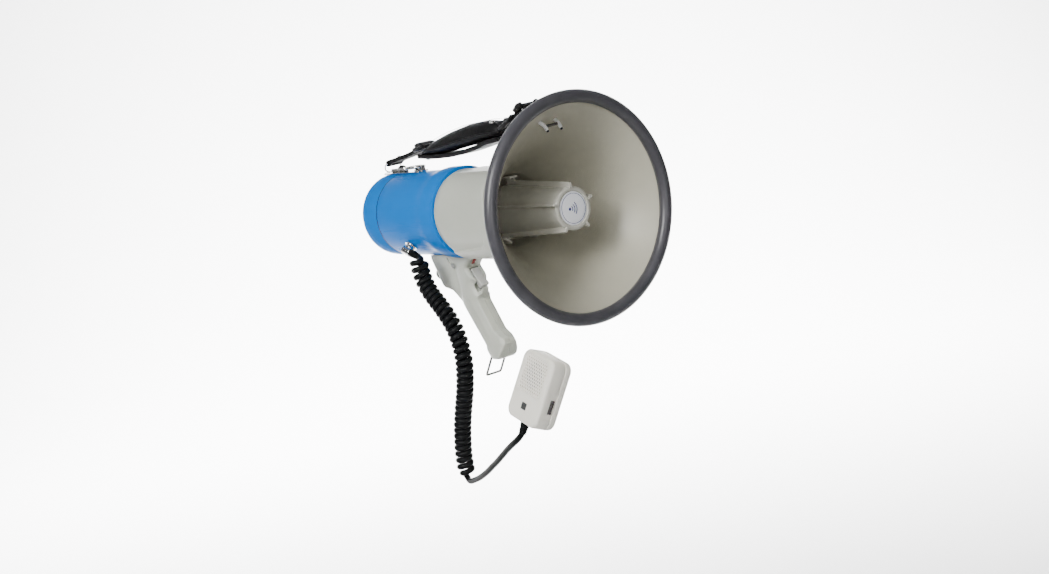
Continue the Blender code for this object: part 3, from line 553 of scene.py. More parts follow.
def make_lights():
    """A soft key from the upper left, a weak fill, and lamps that light only the backdrop."""
    world = bpy.data.worlds.new("studio")
    world.use_nodes = True
    sky = world.node_tree.nodes["Background"].inputs
    sky["Color"].default_value = (0.95, 0.97, 1.0, 1.0)
    sky["Strength"].default_value = SKY_STRENGTH
    bpy.context.scene.world = world
    centre = (0.0, -0.05, 0.05)
    area_light("key_left", (-2.25, -0.75, 1.25), centre, (0.9, 1.2), 4.7, spread=30.0)
    area_light("key_front", (-1.7, -1.6, 1.5), centre, (0.7, 1.0), 0.7, spread=36.0)
    area_light("fill", (-0.95, -2.4, 0.30), centre, (1.2, 1.2), 1.2, spread=40.0)
    area_light("top", (-0.3, 0.6, 2.2), centre, (1.2, 1.2), 0.4, spread=60.0)
    away = Vector((0.583, 0.812, 0.0))
    side = Vector((0.812, -0.583, 0.0))
    for name, shift_by in (("backdrop_left", -0.85), ("backdrop_right", 0.85)):
        place = 1.75 * away + shift_by * side + Vector((0.0, 0.0, 1.75))
        area_light(name, place, 2.55 * away + 1.15 * shift_by * side - Vector((0.0, 0.0, 0.45)), (1.4, 0.6),
                   BACKDROP_POWER, spread=120.0)


make_camera()
make_floor()
make_lights()

# ---------------------------------------------------------------- curly cord

CORD_RADIUS = 3.2
HELIX_RADIUS = 6.75
CORD_STEP = 1.6
COIL_PITCH = 6.85
TURN_STEPS = 28
COIL_ROUTE = [
    (-46.5, 237.8, -41.3), (-46.5, 238.2, -49.0), (-46.0, 237.8, -58.6), (-45.0, 236.0, -68.2),
    (-44.4, 231.8, -76.6), (-44.0, 225.0, -85.0), (-44.0, 211.0, -98.5), (-44.0, 198.5, -115.0),
    (-44.0, 191.8, -134.0), (-44.0, 190.6, -153.0), (-44.0, 194.4, -171.0), (-44.0, 201.0, -190.0),
    (-44.0, 210.0, -210.0), (-44.0, 218.0, -231.0), (-44.0, 223.6, -252.0), (-44.0, 225.6, -266.0),
    (-44.0, 226.0, -283.5),
]
TAIL_ROUTE = [
    (-44.3, 228.8, -288.1), (-45.5, 221.5, -290.1), (-47.0, 209.9, -287.1), (-49.5, 193.2, -281.1),
    (-52.5, 173.1, -271.7), (-55.0, 158.0, -263.4), (-57.0, 144.5, -256.0), (-59.0, 132.8, -249.2),
    (-60.5, 122.4, -242.9), (-61.8, 112.5, -236.9), (-62.6, 102.5, -231.1), (-62.9, 94.0, -226.3),
    (-62.4, 87.5, -222.0), (-61.4, 83.6, -218.0), (-60.3, 81.2, -214.1),
]
LEAD_IN = [(-42.6, 246.4, -39.3), (-42.5, 243.6, -40.2), (-42.2, 240.6, -41.0)]


def smoothstep(value):
    value = min(1.0, max(0.0, value))
    return value * value * (3.0 - 2.0 * value)


def lengths_along(points):
    """How far along a line each of its points lies."""
    lengths = [0.0]
    for near, far in zip(points, points[1:]):
        lengths.append(lengths[-1] + (far - near).length)
    return lengths


def helix_points():
    """Turns about the coil's middle line, a little wider and looser at the top, drawn in at both ends."""
    middle, frames = frames_along(smooth_route(COIL_ROUTE, 0.5), (1.0, 0.0, 0.0))
    lengths = lengths_along(middle)
    total = lengths[-1]
    points = []
    turn, travelled, index = 0.0, 0.0, 0
    step = 2.0 * math.pi / TURN_STEPS
    while travelled < total:
        while index < len(lengths) - 2 and lengths[index + 1] < travelled:
            index += 1
        share = (travelled - lengths[index]) / max(1e-6, lengths[index + 1] - lengths[index])
        centre = middle[index].lerp(middle[index + 1], share)
        _, side, other = frames[index]
        drawn = smoothstep(travelled / 4.0) * smoothstep((total - travelled) / 5.0)
        wider = 1.0 + 0.09 * smoothstep(1.0 - travelled / 45.0)
        radius = HELIX_RADIUS * (0.55 + 0.45 * drawn) * wider
        points.append(centre + radius * (math.cos(turn) * side + math.sin(turn) * other))
        pitch = (COIL_PITCH + 0.4 * smoothstep(1.0 - travelled / 48.0)
                 + 0.3 * smoothstep((travelled / total - 0.78) / 0.2) + 0.15 * math.sin(travelled * 0.11))
        turn += step
        travelled += pitch * step / (2.0 * math.pi)
    return points


def evenly(points, spacing):
    """The same path through points an even distance apart, and how far along the old ones lay."""
    lengths = lengths_along(points)
    stations = np.linspace(0.0, lengths[-1], max(2, round(lengths[-1] / spacing) + 1))
    columns = [np.interp(stations, lengths, [point[axis] for point in points]) for axis in range(3)]
    return [Vector(place) for place in zip(*columns)], lengths


def ease_join(points, join, reach, rounds):
    """Round off the corner where two runs of points meet, fading out to both sides."""
    for _ in range(rounds):
        before = [point.copy() for point in points]
        for k in range(max(1, join - reach), min(len(points) - 1, join + reach + 1)):
            share = 0.6 * math.cos(0.5 * math.pi * (k - join) / (reach + 1)) ** 2
            points[k] = before[k].lerp(0.5 * (before[k - 1] + before[k + 1]), share)


def make_cord():
    """One cord from the plug through the coil to the microphone, and its length in metres."""
    helix = helix_points()
    lead_in = smooth_route(LEAD_IN + [tuple(helix[0])], 1.0)[:-1]
    tail = smooth_route([tuple(helix[-1])] + TAIL_ROUTE, 1.5)[1:]
    points, lengths = evenly(path_clear(lead_in + helix + tail, 0.3), CORD_STEP)
    for meeting, reach, rounds in ((len(lead_in), 7, 24), (len(lead_in) + len(helix), 12, 60)):
        ease_join(points, round(lengths[meeting] / CORD_STEP), reach, rounds)
    curve = bpy.data.curves.new("curly_cord", "CURVE")
    curve.dimensions = "3D"
    curve.bevel_depth = CORD_RADIUS * MM
    curve.bevel_resolution = 4
    curve.use_fill_caps = True
    curve.render_resolution_u = 0
    spline = curve.splines.new("POLY")
    spline.points.add(len(points) - 1)
    for target, point in zip(spline.points, points):
        target.co = (*in_world(point), 1.0)
    cord = link(bpy.data.objects.new("curly_cord", curve))
    dress(cord, CORD, slot="cord_rubber", replaces="cord_coil cord_tail")
    return cord, lengths_along(points)[-1] * MM


cord, cord_length = make_cord()

# ---------------------------------------------------------------- bell, bumper and reflector

MOUTH_RADIUS, MOUTH_Y, FLARE_LENGTH = 103.5, 6.0, 104.0
THROAT_Y, BOWL_DEPTH, THROAT_HOLE, BELL_WALL = 112.0, 38.0, 15.0, 2.3
LIP_Y = 2.0
BUMPER_TUBE = 6.5
FIN_COUNT = 5


def bell_radius(y):
    return MOUTH_RADIUS * math.exp((MOUTH_Y - y) / FLARE_LENGTH)


def bell_line(steps=44):
    line = [(bell_radius(LIP_Y + (THROAT_Y - LIP_Y) * (step / steps) ** 1.1), LIP_Y + (THROAT_Y - LIP_Y) *
             (step / steps) ** 1.1) for step in range(steps + 1)]
    width = bell_radius(THROAT_Y) - THROAT_HOLE
    for step in range(1, 15):
        angle = 0.5 * math.pi * step / 14
        line.append((THROAT_HOLE + width * math.cos(angle), THROAT_Y + BOWL_DEPTH * math.sin(angle)))
    return line


def make_bell():
    """The flared bell, and the bumper whose slot grips the bell's lip."""
    inner = bell_line()
    outer = shift(inner, BELL_WALL)
    outer[-1] = (THROAT_HOLE, THROAT_Y + BOWL_DEPTH + BELL_WALL)
    piece("bell", lathe(inner + outer[::-1], TURN_SIDES), BELL, slot="bell_plastic", replaces="horn_bell")
    slope = Vector((bell_radius(LIP_Y) - bell_radius(LIP_Y + 4.0), -4.0)).normalized()
    normal = Vector((-slope.y, slope.x))
    centre = Vector((bell_radius(LIP_Y), LIP_Y)) + 0.5 * BELL_WALL * normal
    half = 0.5 * BELL_WALL + 0.25
    opening = math.asin(half / BUMPER_TUBE)
    first = math.atan2(-slope.y, -slope.x) - opening
    floor = centre + 0.5 * slope
    profile = [tuple(floor - half * normal), tuple(floor + half * normal)]
    sides = 44
    for index in range(sides + 1):
        angle = first - (2.0 * math.pi - 2.0 * opening) * index / sides
        reach = BUMPER_TUBE * (1.0 - 0.035 * math.exp(-((math.degrees(angle) + 195.0) / 9.0) ** 2))
        profile.append((centre.x + reach * math.cos(angle), centre.y + reach * math.sin(angle)))
    piece("rim_bumper", lathe(profile, 192), BUMPER, slot="bumper_rubber", replaces="bell_rim_bumper")


def fin_mesh(angle):
    """One fin with a rounded crest, the foot it stands on and the foot's screw."""
    outline = fillet([(14.0, 20.6, 0.4), (14.0, 25.6, 1.2), (17.5, 26.4, 1.0), (103.0, 30.6, 3.0),
                      (106.5, 35.4, 0.5), (116.0, 35.4, 0.4), (116.5, 22.0, 0.0), (20.0, 19.0, 0.0),
                      (20.0, 20.6, 0.0)], 4)
    sections = ((-1.15, 0.45), (-0.85, 0.12), (-0.5, 0.0), (0.5, 0.0), (0.85, 0.12), (1.15, 0.45))
    fin = loft([[(x, y, z - inset) for y, z in outline] for x, inset in sections])
    foot_outline = fillet([(-5.2, 103.5, 2.5), (5.2, 103.5, 2.5), (5.2, 117.0, 1.0), (-5.2, 117.0, 1.0)], 4)
    foot = loft([[(x, y, z) for x, y in foot_outline] for z in (33.4, 34.4, 35.4)])
    screw = loft([[(r * math.cos(a), 109.5 + r * math.sin(a), z) for a in circle(20)]
                  for r, z in ((2.3, 33.5), (2.3, 32.4), (1.9, 31.9))])
    turn = Matrix.Rotation(angle, 3, "Y")
    return [([tuple(turn @ Vector(point)) for point in points], faces)
            for points, faces in (fin, foot, screw)]


def make_reflector():
    """The tube with its fins, its front cap, and the label with a ring, a dot and arcs on it."""
    outer = [(19.4, 19.0), (20.3, 19.3), (20.7, 26.0), (21.9, 43.0), (23.2, 60.0), (24.4, 76.0), (25.4, 92.0),
             (26.3, 106.0), (27.0, 118.0)]
    inner = [(radius - 2.0, y) for radius, y in outer]
    fins = [mesh for angle in circle(FIN_COUNT) for mesh in fin_mesh(angle)]
    piece("reflector", join_meshes(lathe(outer + inner[::-1]), *fins), CAP_GREY, slot="bell_plastic",
          replaces="reflector_tube")
    cap = [(0.0, 16.6), (16.8, 16.6), (17.1, 16.3), (17.1, 15.9), (17.5, 15.4), (18.6, 15.1), (20.0, 15.15),
           (21.0, 15.6), (21.6, 16.4), (21.8, 17.4), (21.7, 18.7), (21.3, 19.0), (18.0, 19.0), (18.0, 25.0),
           (16.0, 25.0), (16.0, 19.6), (0.0, 19.6)]
    piece("reflector_nose", lathe(cap), CAP_GREY, slot="bell_plastic", replaces="reflector_cap")
    label = [(0.0, 15.55), (8.0, 15.58), (16.2, 15.7), (16.6, 15.85), (16.7, 16.1), (16.7, 16.35),
             (0.0, 16.35)]
    piece("label", lathe(label), WHITE, slot="label_white", replaces="label_disc")
    dot_x = -4.6
    marks = [lathe([(14.6, 15.45), (15.0, 15.45), (15.0, 15.75), (14.6, 15.75)])]
    for radius in (3.4, 6.0, 8.6):
        arc = [(dot_x + radius * math.cos(a), 15.52, radius * math.sin(a))
               for a in (math.radians(-42.0 + 84.0 * step / 14) for step in range(15))]
        marks.append(sweep(arc, 0.42, 8))
    dot = [(0.0, 15.35), (1.2, 15.4), (1.5, 15.5), (1.5, 15.7), (0.0, 15.7)]
    marks.append(lathe(dot, 32, (dot_x, 0.0, 0.0)))
    piece("label_mark", join_meshes(*marks), PRINT, slot="label_white")


# ---------------------------------------------------------------- body, barrel and rear cap

BODY_REAR, BODY_NECK, BODY_FRONT = 205.8, 192.8, 101.6
TURN_SIDES = 160
LEDGE_Y = (101.0, 105.0, 106.5, 108.5, 111.5, 117.0, 126.0, 150.0, 186.0, 193.0)
LEDGE_ANGLE = (180.0, 150.0, 100.0, 78.0, 65.0, 57.0, 52.3, 48.6, 44.0, 43.0)


def soft_least(first, second, width):
    """The smaller of two lengths, blended over a width."""
    share = min(1.0, max(0.0, 0.5 + 0.5 * (second - first) / width))
    return second * (1.0 - share) + first * share - width * share * (1.0 - share)


def body_radius(angle, y):
    """The front body's outline: round at the neck, flatter ahead, with a raised ledge round its panels."""
    c, s = abs(math.cos(angle)), abs(math.sin(angle))
    formed = smoothstep((BODY_NECK - y) / 12.0)
    curved = 48.9 * (c ** 2.3 + s ** 2.3) ** (-1.0 / 2.3)
    shaped = soft_least(curved, 46.3 / max(s, 1e-6), 4.0)
    if math.cos(angle) > 0.0:
        shaped = soft_least(shaped, 46.1 / max(c, 1e-6), 0.8)
    from_bottom = 180.0 - math.degrees(math.acos(max(-1.0, min(1.0, math.cos(angle)))))
    gap = (float(np.interp(y, LEDGE_Y, LEDGE_ANGLE)) - from_bottom) * math.radians(47.0)
    softness = 0.5 + 0.9 * smoothstep((113.0 - y) / 8.0)
    raised = smoothstep(0.5 + 0.5 * gap / softness)
    radius = 46.0 * (1.0 - formed) + (shaped - 0.2) * formed + 2.0 * (raised - 0.5) * formed
    nose = max(0.0, 1.0 - (y - BODY_FRONT) / 5.2)
    return radius - 2.2 * (1.0 - math.sqrt(max(0.0, 1.0 - nose * nose)))


def make_front_body():
    """The grey housing between the bell and the barrel, open at both ends."""
    outer = [(BODY_REAR, 43.2), (192.95, 43.2), (192.85, 45.2)]
    shaped = np.concatenate([np.linspace(BODY_NECK, 178.0, 9), np.linspace(176.0, 114.0, 32),
                             np.linspace(112.6, 108.0, 8),
                             BODY_FRONT + 5.6 * np.linspace(1.0, 0.0, 14) ** 1.6])
    inner = [(BODY_FRONT, 42.4), (109.0, 42.0), (188.0, 43.4), (194.0, 41.2), (BODY_REAR, 41.2)]
    rings = []
    for y, radius in outer + [(float(row), None) for row in shaped] + inner:
        reaches = [(angle, body_radius(angle, y) if radius is None else radius) for angle in circle(360)]
        rings.append([(reach * math.sin(angle), y, reach * math.cos(angle)) for angle, reach in reaches])
    piece("front_shell", loft(rings, closed=True), GREY, slot="body_plastic", replaces="front_body",
          angle=38.0)


def make_barrel():
    """The blue sleeve, the cap that closes it, and a black ring in the seam between the two that paints the
    seam's shadow.
    """
    sleeve = [(43.7, 193.0), (47.7, 193.0), (48.5, 193.2), (49.0, 193.7), (49.2, 194.6), (49.2, 214.5),
              (49.0, 217.0), (48.5, 220.5), (47.7, 225.0), (47.0, 229.5), (46.6, 233.0),
              (46.35, 237.0), (46.3, 243.0), (46.3, 307.2), (46.15, 307.6), (45.8, 307.7),
              (43.7, 307.7)]
    piece("barrel", lathe(sleeve, TURN_SIDES), BLUE, slot="blue_plastic", replaces="barrel_sleeve")
    cap = [(0.0, 346.6), (20.0, 346.7), (34.0, 347.0), (36.5, 346.8), (38.8, 346.2), (41.0, 345.0),
           (42.9, 343.3), (44.3, 341.0), (45.3, 338.2), (45.9, 335.0), (46.2, 331.5), (46.3, 328.0),
           (46.3, 309.5), (46.15, 309.1), (45.8, 309.0), (43.3, 309.0), (43.3, 299.0), (41.0, 299.0),
           (41.0, 337.0), (37.5, 343.0), (0.0, 344.3)]
    piece("end_cap", lathe(cap, TURN_SIDES), BLUE, body="rear_cap", slot="blue_plastic", replaces="rear_cap")
    # a black ring filling the gap between sleeve and cap: painted shadow in the seam
    painted_seam_shadow = [(43.4, 307.8), (46.0, 307.8), (46.2, 307.95), (46.2, 308.85), (46.0, 309.0), (43.4, 309.0)]
    piece("cap_seam_painted_shadow", lathe(painted_seam_shadow, TURN_SIDES), DARK, body="rear_cap", slot="bumper_rubber")


make_bell()
make_reflector()
make_front_body()
make_barrel()


# ---------------------------------------------------------------- pistol grip

GRIP_OUTLINE = [
    (196.0, -42.0, 1.0), (196.0, -50.5, 2.5), (206.0, -60.0, 1.5), (190.0, -81.0, 1.5),
    (189.5, -84.5, 2.0), (198.0, -94.0, 8.0), (177.5, -129.0, 7.0), (164.0, -137.5, 6.0),
    (162.5, -143.0, 4.0), (170.0, -157.0, 4.0), (174.0, -159.5, 2.5), (184.0, -160.0, 3.0),
    (188.5, -157.5, 3.0), (233.0, -90.0, 9.0), (239.0, -85.5, 6.0), (253.0, -82.5, 3.0),
    (256.5, -79.5, 3.0), (270.0, -50.0, 4.0), (270.0, -42.0, 1.0),
]
GRIP_TOP, GRIP_END = np.array((222.0, -75.0)), np.array((175.0, -150.0))
TRIGGER_TOP = Vector((0.0, 204.6, -61.6))
TRIGGER_DOWN, TRIGGER_IN = Vector((0.0, -0.6, -0.8)), Vector((0.0, 0.8, -0.6))
TRIGGER_PIVOT = (206.16, -66.52)


def resample(outline, spacing):
    """Points of a closed outline about a spacing apart, keeping its corners."""
    points = []
    for start, end in zip(outline, outline[1:] + outline[:1]):
        start, end = np.array(start), np.array(end)
        count = max(1, round(float(np.linalg.norm(end - start)) / spacing))
        points += [start + (end - start) * step / count for step in range(count)]
    return np.array(points)


def edge_distance(points, rim):
    """How far each point lies from a closed line of rim points."""
    ends = np.roll(rim, -1, axis=0)
    along = ends - rim
    length2 = np.maximum((along ** 2).sum(axis=1), 1e-12)
    offset = points[:, None, :] - rim[None, :, :]
    share = np.clip((offset * along[None]).sum(axis=2) / length2, 0.0, 1.0)
    nearest = rim[None] + share[..., None] * along[None]
    return np.sqrt(((points[:, None, :] - nearest) ** 2).sum(axis=2)).min(axis=1)


def inside(points, rim):
    """Which points lie inside a closed line of rim points."""
    ends = np.roll(rim, -1, axis=0)
    a, b = points[:, None, 0], points[:, None, 1]
    crosses = (rim[None, :, 1] > b) != (ends[None, :, 1] > b)
    height = np.where(np.abs(ends[:, 1] - rim[:, 1]) < 1e-9, 1e-9, ends[:, 1] - rim[:, 1])
    at = rim[None, :, 0] + (b - rim[None, :, 1]) / height[None] * (ends - rim)[None, :, 0]
    return (crosses & (a < at)).sum(axis=1) % 2 == 1


def ease(values, low, high):
    """0 below low, 1 above high, smooth between."""
    t = np.clip((values - low) / (high - low), 0.0, 1.0)
    return t * t * (3.0 - 2.0 * t)


def grip_half_width(points, rim):
    """Half the grip's thickness at each (y, z): a domed handle, faceted in front, and a flat block above."""
    distance = edge_distance(points, rim)
    axis = (GRIP_END - GRIP_TOP) / np.linalg.norm(GRIP_END - GRIP_TOP)
    offset = points - GRIP_TOP
    along = offset @ axis
    forward = offset @ np.array((-0.847, 0.531))
    y, z = points[:, 0], points[:, 1]
    in_grip = ease(along, 4.0, 22.0)
    in_end = ease(-z, 143.0, 152.0)
    front = ease(forward, -3.0, 4.0) * in_grip * (1.0 - in_end)
    rear = ease(-forward, 0.0, 6.0) * in_grip * (1.0 - in_end)
    rise = 7.6 * (1.0 - front - rear - in_end).clip(0.0, 1.0) + 7.4 * front + 3.0 * rear + 9.0 * in_end
    radius = 4.4 + 5.6 * rear
    climb = np.clip(distance / radius, 0.0, 1.0)
    round_side = rise + radius * np.sqrt(1.0 - (1.0 - climb) ** 2)
    facet_side = rise + 1.1 * np.sqrt(np.clip(distance / 0.9, 0.0, 1.0)) + 0.46 * distance
    side = round_side * (1.0 - front) + facet_side * front
    across = np.clip(np.abs(forward + 3.0) / 20.0, 0.0, 0.98)
    dome = 12.9 * (1.0 - across ** 2.4) ** (1.0 / 2.4)
    block = 11.2 + 0.7 * ease(z, -85.0, -55.0)
    width = dome * in_grip + block * (1.0 - in_grip)
    valley = y - (228.0 + 0.05 * (z + 50.0))
    width -= 2.3 * np.exp(-(valley / 5.5) ** 2) * ease(-z, 51.0, 62.0) * (1.0 - ease(-z, 96.0, 108.0))
    blend = 0.5 * (side + width - np.sqrt((side - width) ** 2 + 0.25))
    return np.minimum(blend, 12.95)


def flat_triangles(points, rim_count):
    """Triangles over the plan points, inside the rim that the first of them make."""
    edges = [(index, (index + 1) % rim_count) for index in range(rim_count)]
    verts, _, faces, _, _, _ = delaunay_2d_cdt([Vector(point) for point in points], edges, [], 1, 1e-5)
    return [tuple(vert) for vert in verts], [tuple(face) for face in faces]


def plan_points(rim):
    """The rim, rows that follow it closely inside, and a grid over the rest."""
    ways = np.roll(rim, -1, axis=0) - np.roll(rim, 1, axis=0)
    ways /= np.linalg.norm(ways, axis=1)[:, None]
    inward = np.stack([ways[:, 1], -ways[:, 0]], axis=1)
    if not inside(rim[:1] + 0.3 * inward[:1], rim)[0]:
        inward = -inward
    rows = [rim]
    for depth in (0.35, 0.9, 1.7, 2.7, 3.9, 5.2, 6.7):
        row = rim + depth * inward
        keep = inside(row, rim) & (edge_distance(row, rim) > 0.93 * depth)
        rows.append(row[keep])
    low, high = rim.min(axis=0), rim.max(axis=0)
    grid = np.array([(a + (index % 2) * 0.8, b) for index, b in enumerate(np.arange(low[1], high[1], 1.5)) for
                     a in np.arange(low[0], high[0], 1.7)])
    deep = inside(grid, rim)
    grid = grid[deep]
    rows.append(grid[edge_distance(grid, rim) > 7.6])
    return np.concatenate(rows)


def grip_half(name, side):
    """One of the two mirrored halves of the grip, flat where they meet."""
    rim = resample(fillet(GRIP_OUTLINE, 6), 1.1)
    outer, faces = flat_triangles(plan_points(rim), len(rim))
    widths = grip_half_width(np.array(outer), rim)
    inner, inner_faces = flat_triangles(rim, len(rim))
    points = [(side * width, y, z) for (y, z), width in zip(outer, widths)]
    start = len(points)
    points += [(side * 0.15, y, z) for y, z in inner]
    faces = list(faces) + [tuple(start + index for index in face) for face in inner_faces]
    count = len(rim)
    faces += [(step, (step + 1) % count, start + (step + 1) % count, start + step) for step in range(count)]
    return mesh_object(name, points, faces)


def trigger_point(x, down, inward):
    return tuple(Vector((x, 0.0, 0.0)) + TRIGGER_TOP + down * TRIGGER_DOWN + inward * TRIGGER_IN)


def grip_cutters():
    """What the halves are cut with: the barrel, slots for the trigger and the bail, and two recesses."""
    barrel_room = [(0.0, 150.0), (49.5, 150.0), (49.5, 214.5), (49.3, 217.0), (48.8, 220.5), (48.0, 225.0),
                   (47.3, 229.5), (46.9, 233.0), (46.65, 237.0), (46.6, 243.0), (46.6, 300.0), (0.0, 300.0)]
    pocket = fillet([(239.0, -48.0, 2.0), (204.5, -49.5, 2.0), (225.5, -62.8, 2.5)], 5)
    slot = [trigger_point(x, down, inward) for x in (-6.7, 5.5)
            for down, inward in ((-1.3, -12.0), (25.4, -12.0), (25.4, 9.6), (-1.3, 9.6))]
    slot_faces = [(0, 1, 2, 3), (7, 6, 5, 4), (0, 4, 5, 1), (1, 5, 6, 2), (2, 6, 7, 3), (3, 7, 4, 0)]
    shapes = {
        "barrel_room": lathe(barrel_room, TURN_SIDES),
        "trigger_slot": (slot, slot_faces),
        "pocket": loft([[(x, y, z) for y, z in pocket] for x in (-16.0, -9.9)]),
        "screw_hole": rod_mesh((-16.0, 227.0, -57.0), (-9.4, 227.0, -57.0), 3.55),
        "shaft_hole": rod_mesh((0.0, 251.5, -61.1), (0.0, 269.8, -69.25), 3.3),
        "bail_slot_left": box_mesh((3.1, 18.2, 17.1), (-9.6, 190.9, -161.45)),
        "bail_slot_right": box_mesh((3.1, 18.2, 17.1), (9.6, 190.9, -161.45)),
    }
    return [mesh_object(name, *shape) for name, shape in shapes.items()]


def make_grip():
    cutters = grip_cutters()
    halves = [grip_half("grip_left", -1.0), grip_half("grip_right", 1.0)]
    for half in halves:
        cut(half, *cutters)
        settle(half)
    for cutter in cutters:
        bpy.data.objects.remove(cutter, do_unlink=True)
    for half, cad_half in zip(halves, ("handle_right_shell", "handle_left_shell")):
        dress(half, GREY, slot="body_plastic", replaces=cad_half, angle=32.0)


def make_trigger():
    """The blade with its pivot bore, and the red lock tab above it."""
    outline = fillet([(0.1, -0.5, 1.2), (12.0, -1.0, 6.0), (24.3, -2.6, 1.2), (24.3, 3.6, 0.5),
                      (9.0, 5.6, 2.0), (6.5, 7.6, 0.8), (0.1, 7.6, 0.6)], 5)
    middle = Vector((10.5, 2.4))
    rings = []
    for x, inset in ((-5.0, 1.1), (-4.7, 0.45), (-4.1, 0.08), (-3.3, 0.0), (3.3, 0.0), (4.1, 0.08),
                     (4.7, 0.45), (5.0, 1.1)):
        ways = [(down, inward, (middle - Vector((down, inward))).normalized()) for down, inward in outline]
        rings.append([trigger_point(x, down + inset * way.x, inward + inset * way.y) for down, inward, way in
                      ways])
    blade = mesh_object("trigger_blade", *loft(rings))
    bore = mesh_object("bore", *rod_mesh((-8.0, *TRIGGER_PIVOT), (8.0, *TRIGGER_PIVOT), 1.6))
    cut(blade, bore)
    dress(settle(blade, [bore]), SILVER, body="trigger", slot="trigger_plastic", replaces="trigger")
    lock = fillet([(-1.0, -1.6, 0.5), (6.5, -1.1, 0.8), (6.5, 1.2, 0.3), (-1.0, 1.2, 0.3)], 3)
    face, out = Vector((0.0, 0.725, -0.689)), Vector((0.0, -0.689, -0.725))
    base = Vector((-3.2, 197.2, -51.4))
    rings = [[tuple(base + Vector((x, 0.0, 0.0)) + a * face - b * out) for a, b in lock]
             for x in (-1.5, -1.1, 1.1, 1.5)]
    piece("lock_tab", loft(rings), RED, slot="trigger_plastic")


def make_bail():
    pivot = Vector((0.0, 186.0, -154.5))
    corners = [(-5.2, 0.0, 0.0), (-9.6, 0.0, 0.0), (-9.6, 17.6, -23.4), (-8.4, 18.5, -24.5),
               (8.4, 18.5, -24.5), (9.6, 17.6, -23.4), (9.6, 0.0, 0.0), (5.2, 0.0, 0.0)]
    path = rounded_path([pivot + Vector(corner) for corner in corners], 1.6)
    piece("bail_wire", sweep(path, 1.25, 12), STEEL_DARK, body="bail", slot="steel", replaces="handle_bail")


def make_knob():
    axis, up, across = Vector((0.0, 0.9135, -0.4067)), Vector((0.0, 0.4067, 0.9135)), Vector((1.0, 0.0, 0.0))
    centre = Vector((0.0, 262.5, -66.0))
    rib_count = 24.0
    rings = []
    for reach, radius, rib in ((-8.5, 2.7, 0.0), (1.95, 2.7, 0.0), (2.0, 7.0, 0.0), (2.3, 7.45, 0.1),
                               (2.8, 7.6, 0.35), (8.0, 7.3, 0.35), (8.6, 7.0, 0.15), (8.95, 6.3, 0.0)):
        ring = []
        for angle in circle(96):
            r = radius - rib * (0.5 + 0.5 * math.cos(rib_count * angle))
            ring.append(tuple(centre + reach * axis + r * (math.cos(angle) * up + math.sin(angle) * across)))
        rings.append(ring)
    piece("knob_cap", loft(rings), DARK, body="knob", slot="black_plastic", replaces="volume_knob")
    mark = [tuple(centre + 9.0 * axis + r * up) for r in (1.5, 5.6)]
    piece("knob_pointer", sweep(mark, 0.35, 8), WHITE, body="knob", slot="label_white")


make_grip()
make_trigger()
make_bail()
make_knob()


# ---------------------------------------------------------------- hand microphone

MIC_PARTING = 3.0
GRILLE_Z = 12.0


def rounded_box_ring(half_x, half_z, radius, y, steps=9):
    """A rectangle with round corners, lying across the microphone's depth."""
    ring = []
    in_x, in_z = half_x - radius, half_z - radius
    for centre_x, centre_z, first in ((in_x, in_z, 0.0), (-in_x, in_z, 90.0), (-in_x, -in_z, 180.0),
                                      (in_x, -in_z, 270.0)):
        for step in range(steps + 1):
            angle = math.radians(first + 90.0 * step / steps)
            ring.append((centre_x + radius * math.cos(angle), y, centre_z + radius * math.sin(angle)))
    return ring


def square_rings(*sizes):
    """Rings of square windows with round corners, from (half width, corner radius, y)."""
    return [rounded_box_ring(half, half, radius, y) for half, radius, y in sizes]


def case_rings(outer_y, flat_y, edge, side):
    """A half of the case, from the parting line to its rounded outer face."""
    rings = [rounded_box_ring(half_x, half_x + 8.5, radius, y) for half_x, radius, y in (
        (24.45, 8.2, MIC_PARTING + side * 0.12), (24.45, 8.2, MIC_PARTING + side * 0.55),
        (24.9, 8.6, MIC_PARTING + side * 0.75), (25.0, 8.7, MIC_PARTING + side * 1.1), (24.75, 8.7, flat_y))]
    for step in range(1, 8):
        angle = 0.5 * math.pi * step / 7
        inset = edge * (1.0 - math.cos(angle))
        rings.append(rounded_box_ring(24.75 - inset, 33.25 - inset, 8.7 - 0.55 * inset,
                                      flat_y + (outer_y - flat_y) * math.sin(angle)))
    rings.append(rounded_box_ring(12.0, 20.0, 5.0, outer_y + side * 0.18))
    return rings


def lattice_bars():
    """Crossing bars that make diamond holes, kept inside the square window."""
    bars = []
    centre = Vector((0.0, GRILLE_Z))
    half, width, spacing, slant = 17.7, 0.52, 2.9, math.radians(27.0)
    section = ((-width, -11.3), (-width, -11.8), (-0.4 * width, -12.1), (0.4 * width, -12.1), (width, -11.8),
               (width, -11.3))
    for lean in (-slant, slant):
        way = Vector((math.sin(lean), math.cos(lean)))
        side = Vector((way.y, -way.x))
        for index in range(-9, 10):
            start = side * (index * spacing * math.cos(slant))
            limits = [sorted(((-half - value) / speed, (half - value) / speed))
                      for value, speed in ((start.x, way.x), (start.y, way.y))]
            low, high = max(limits[0][0], limits[1][0]), min(limits[0][1], limits[1][1])
            if high - low >= 1.5:
                middles = [centre + start + way * t for t in (low, high)]
                bars.append(loft([[(middle.x + side.x * a, y, middle.y + side.y * a) for a, y in section] for
                                  middle in middles]))
    return bars


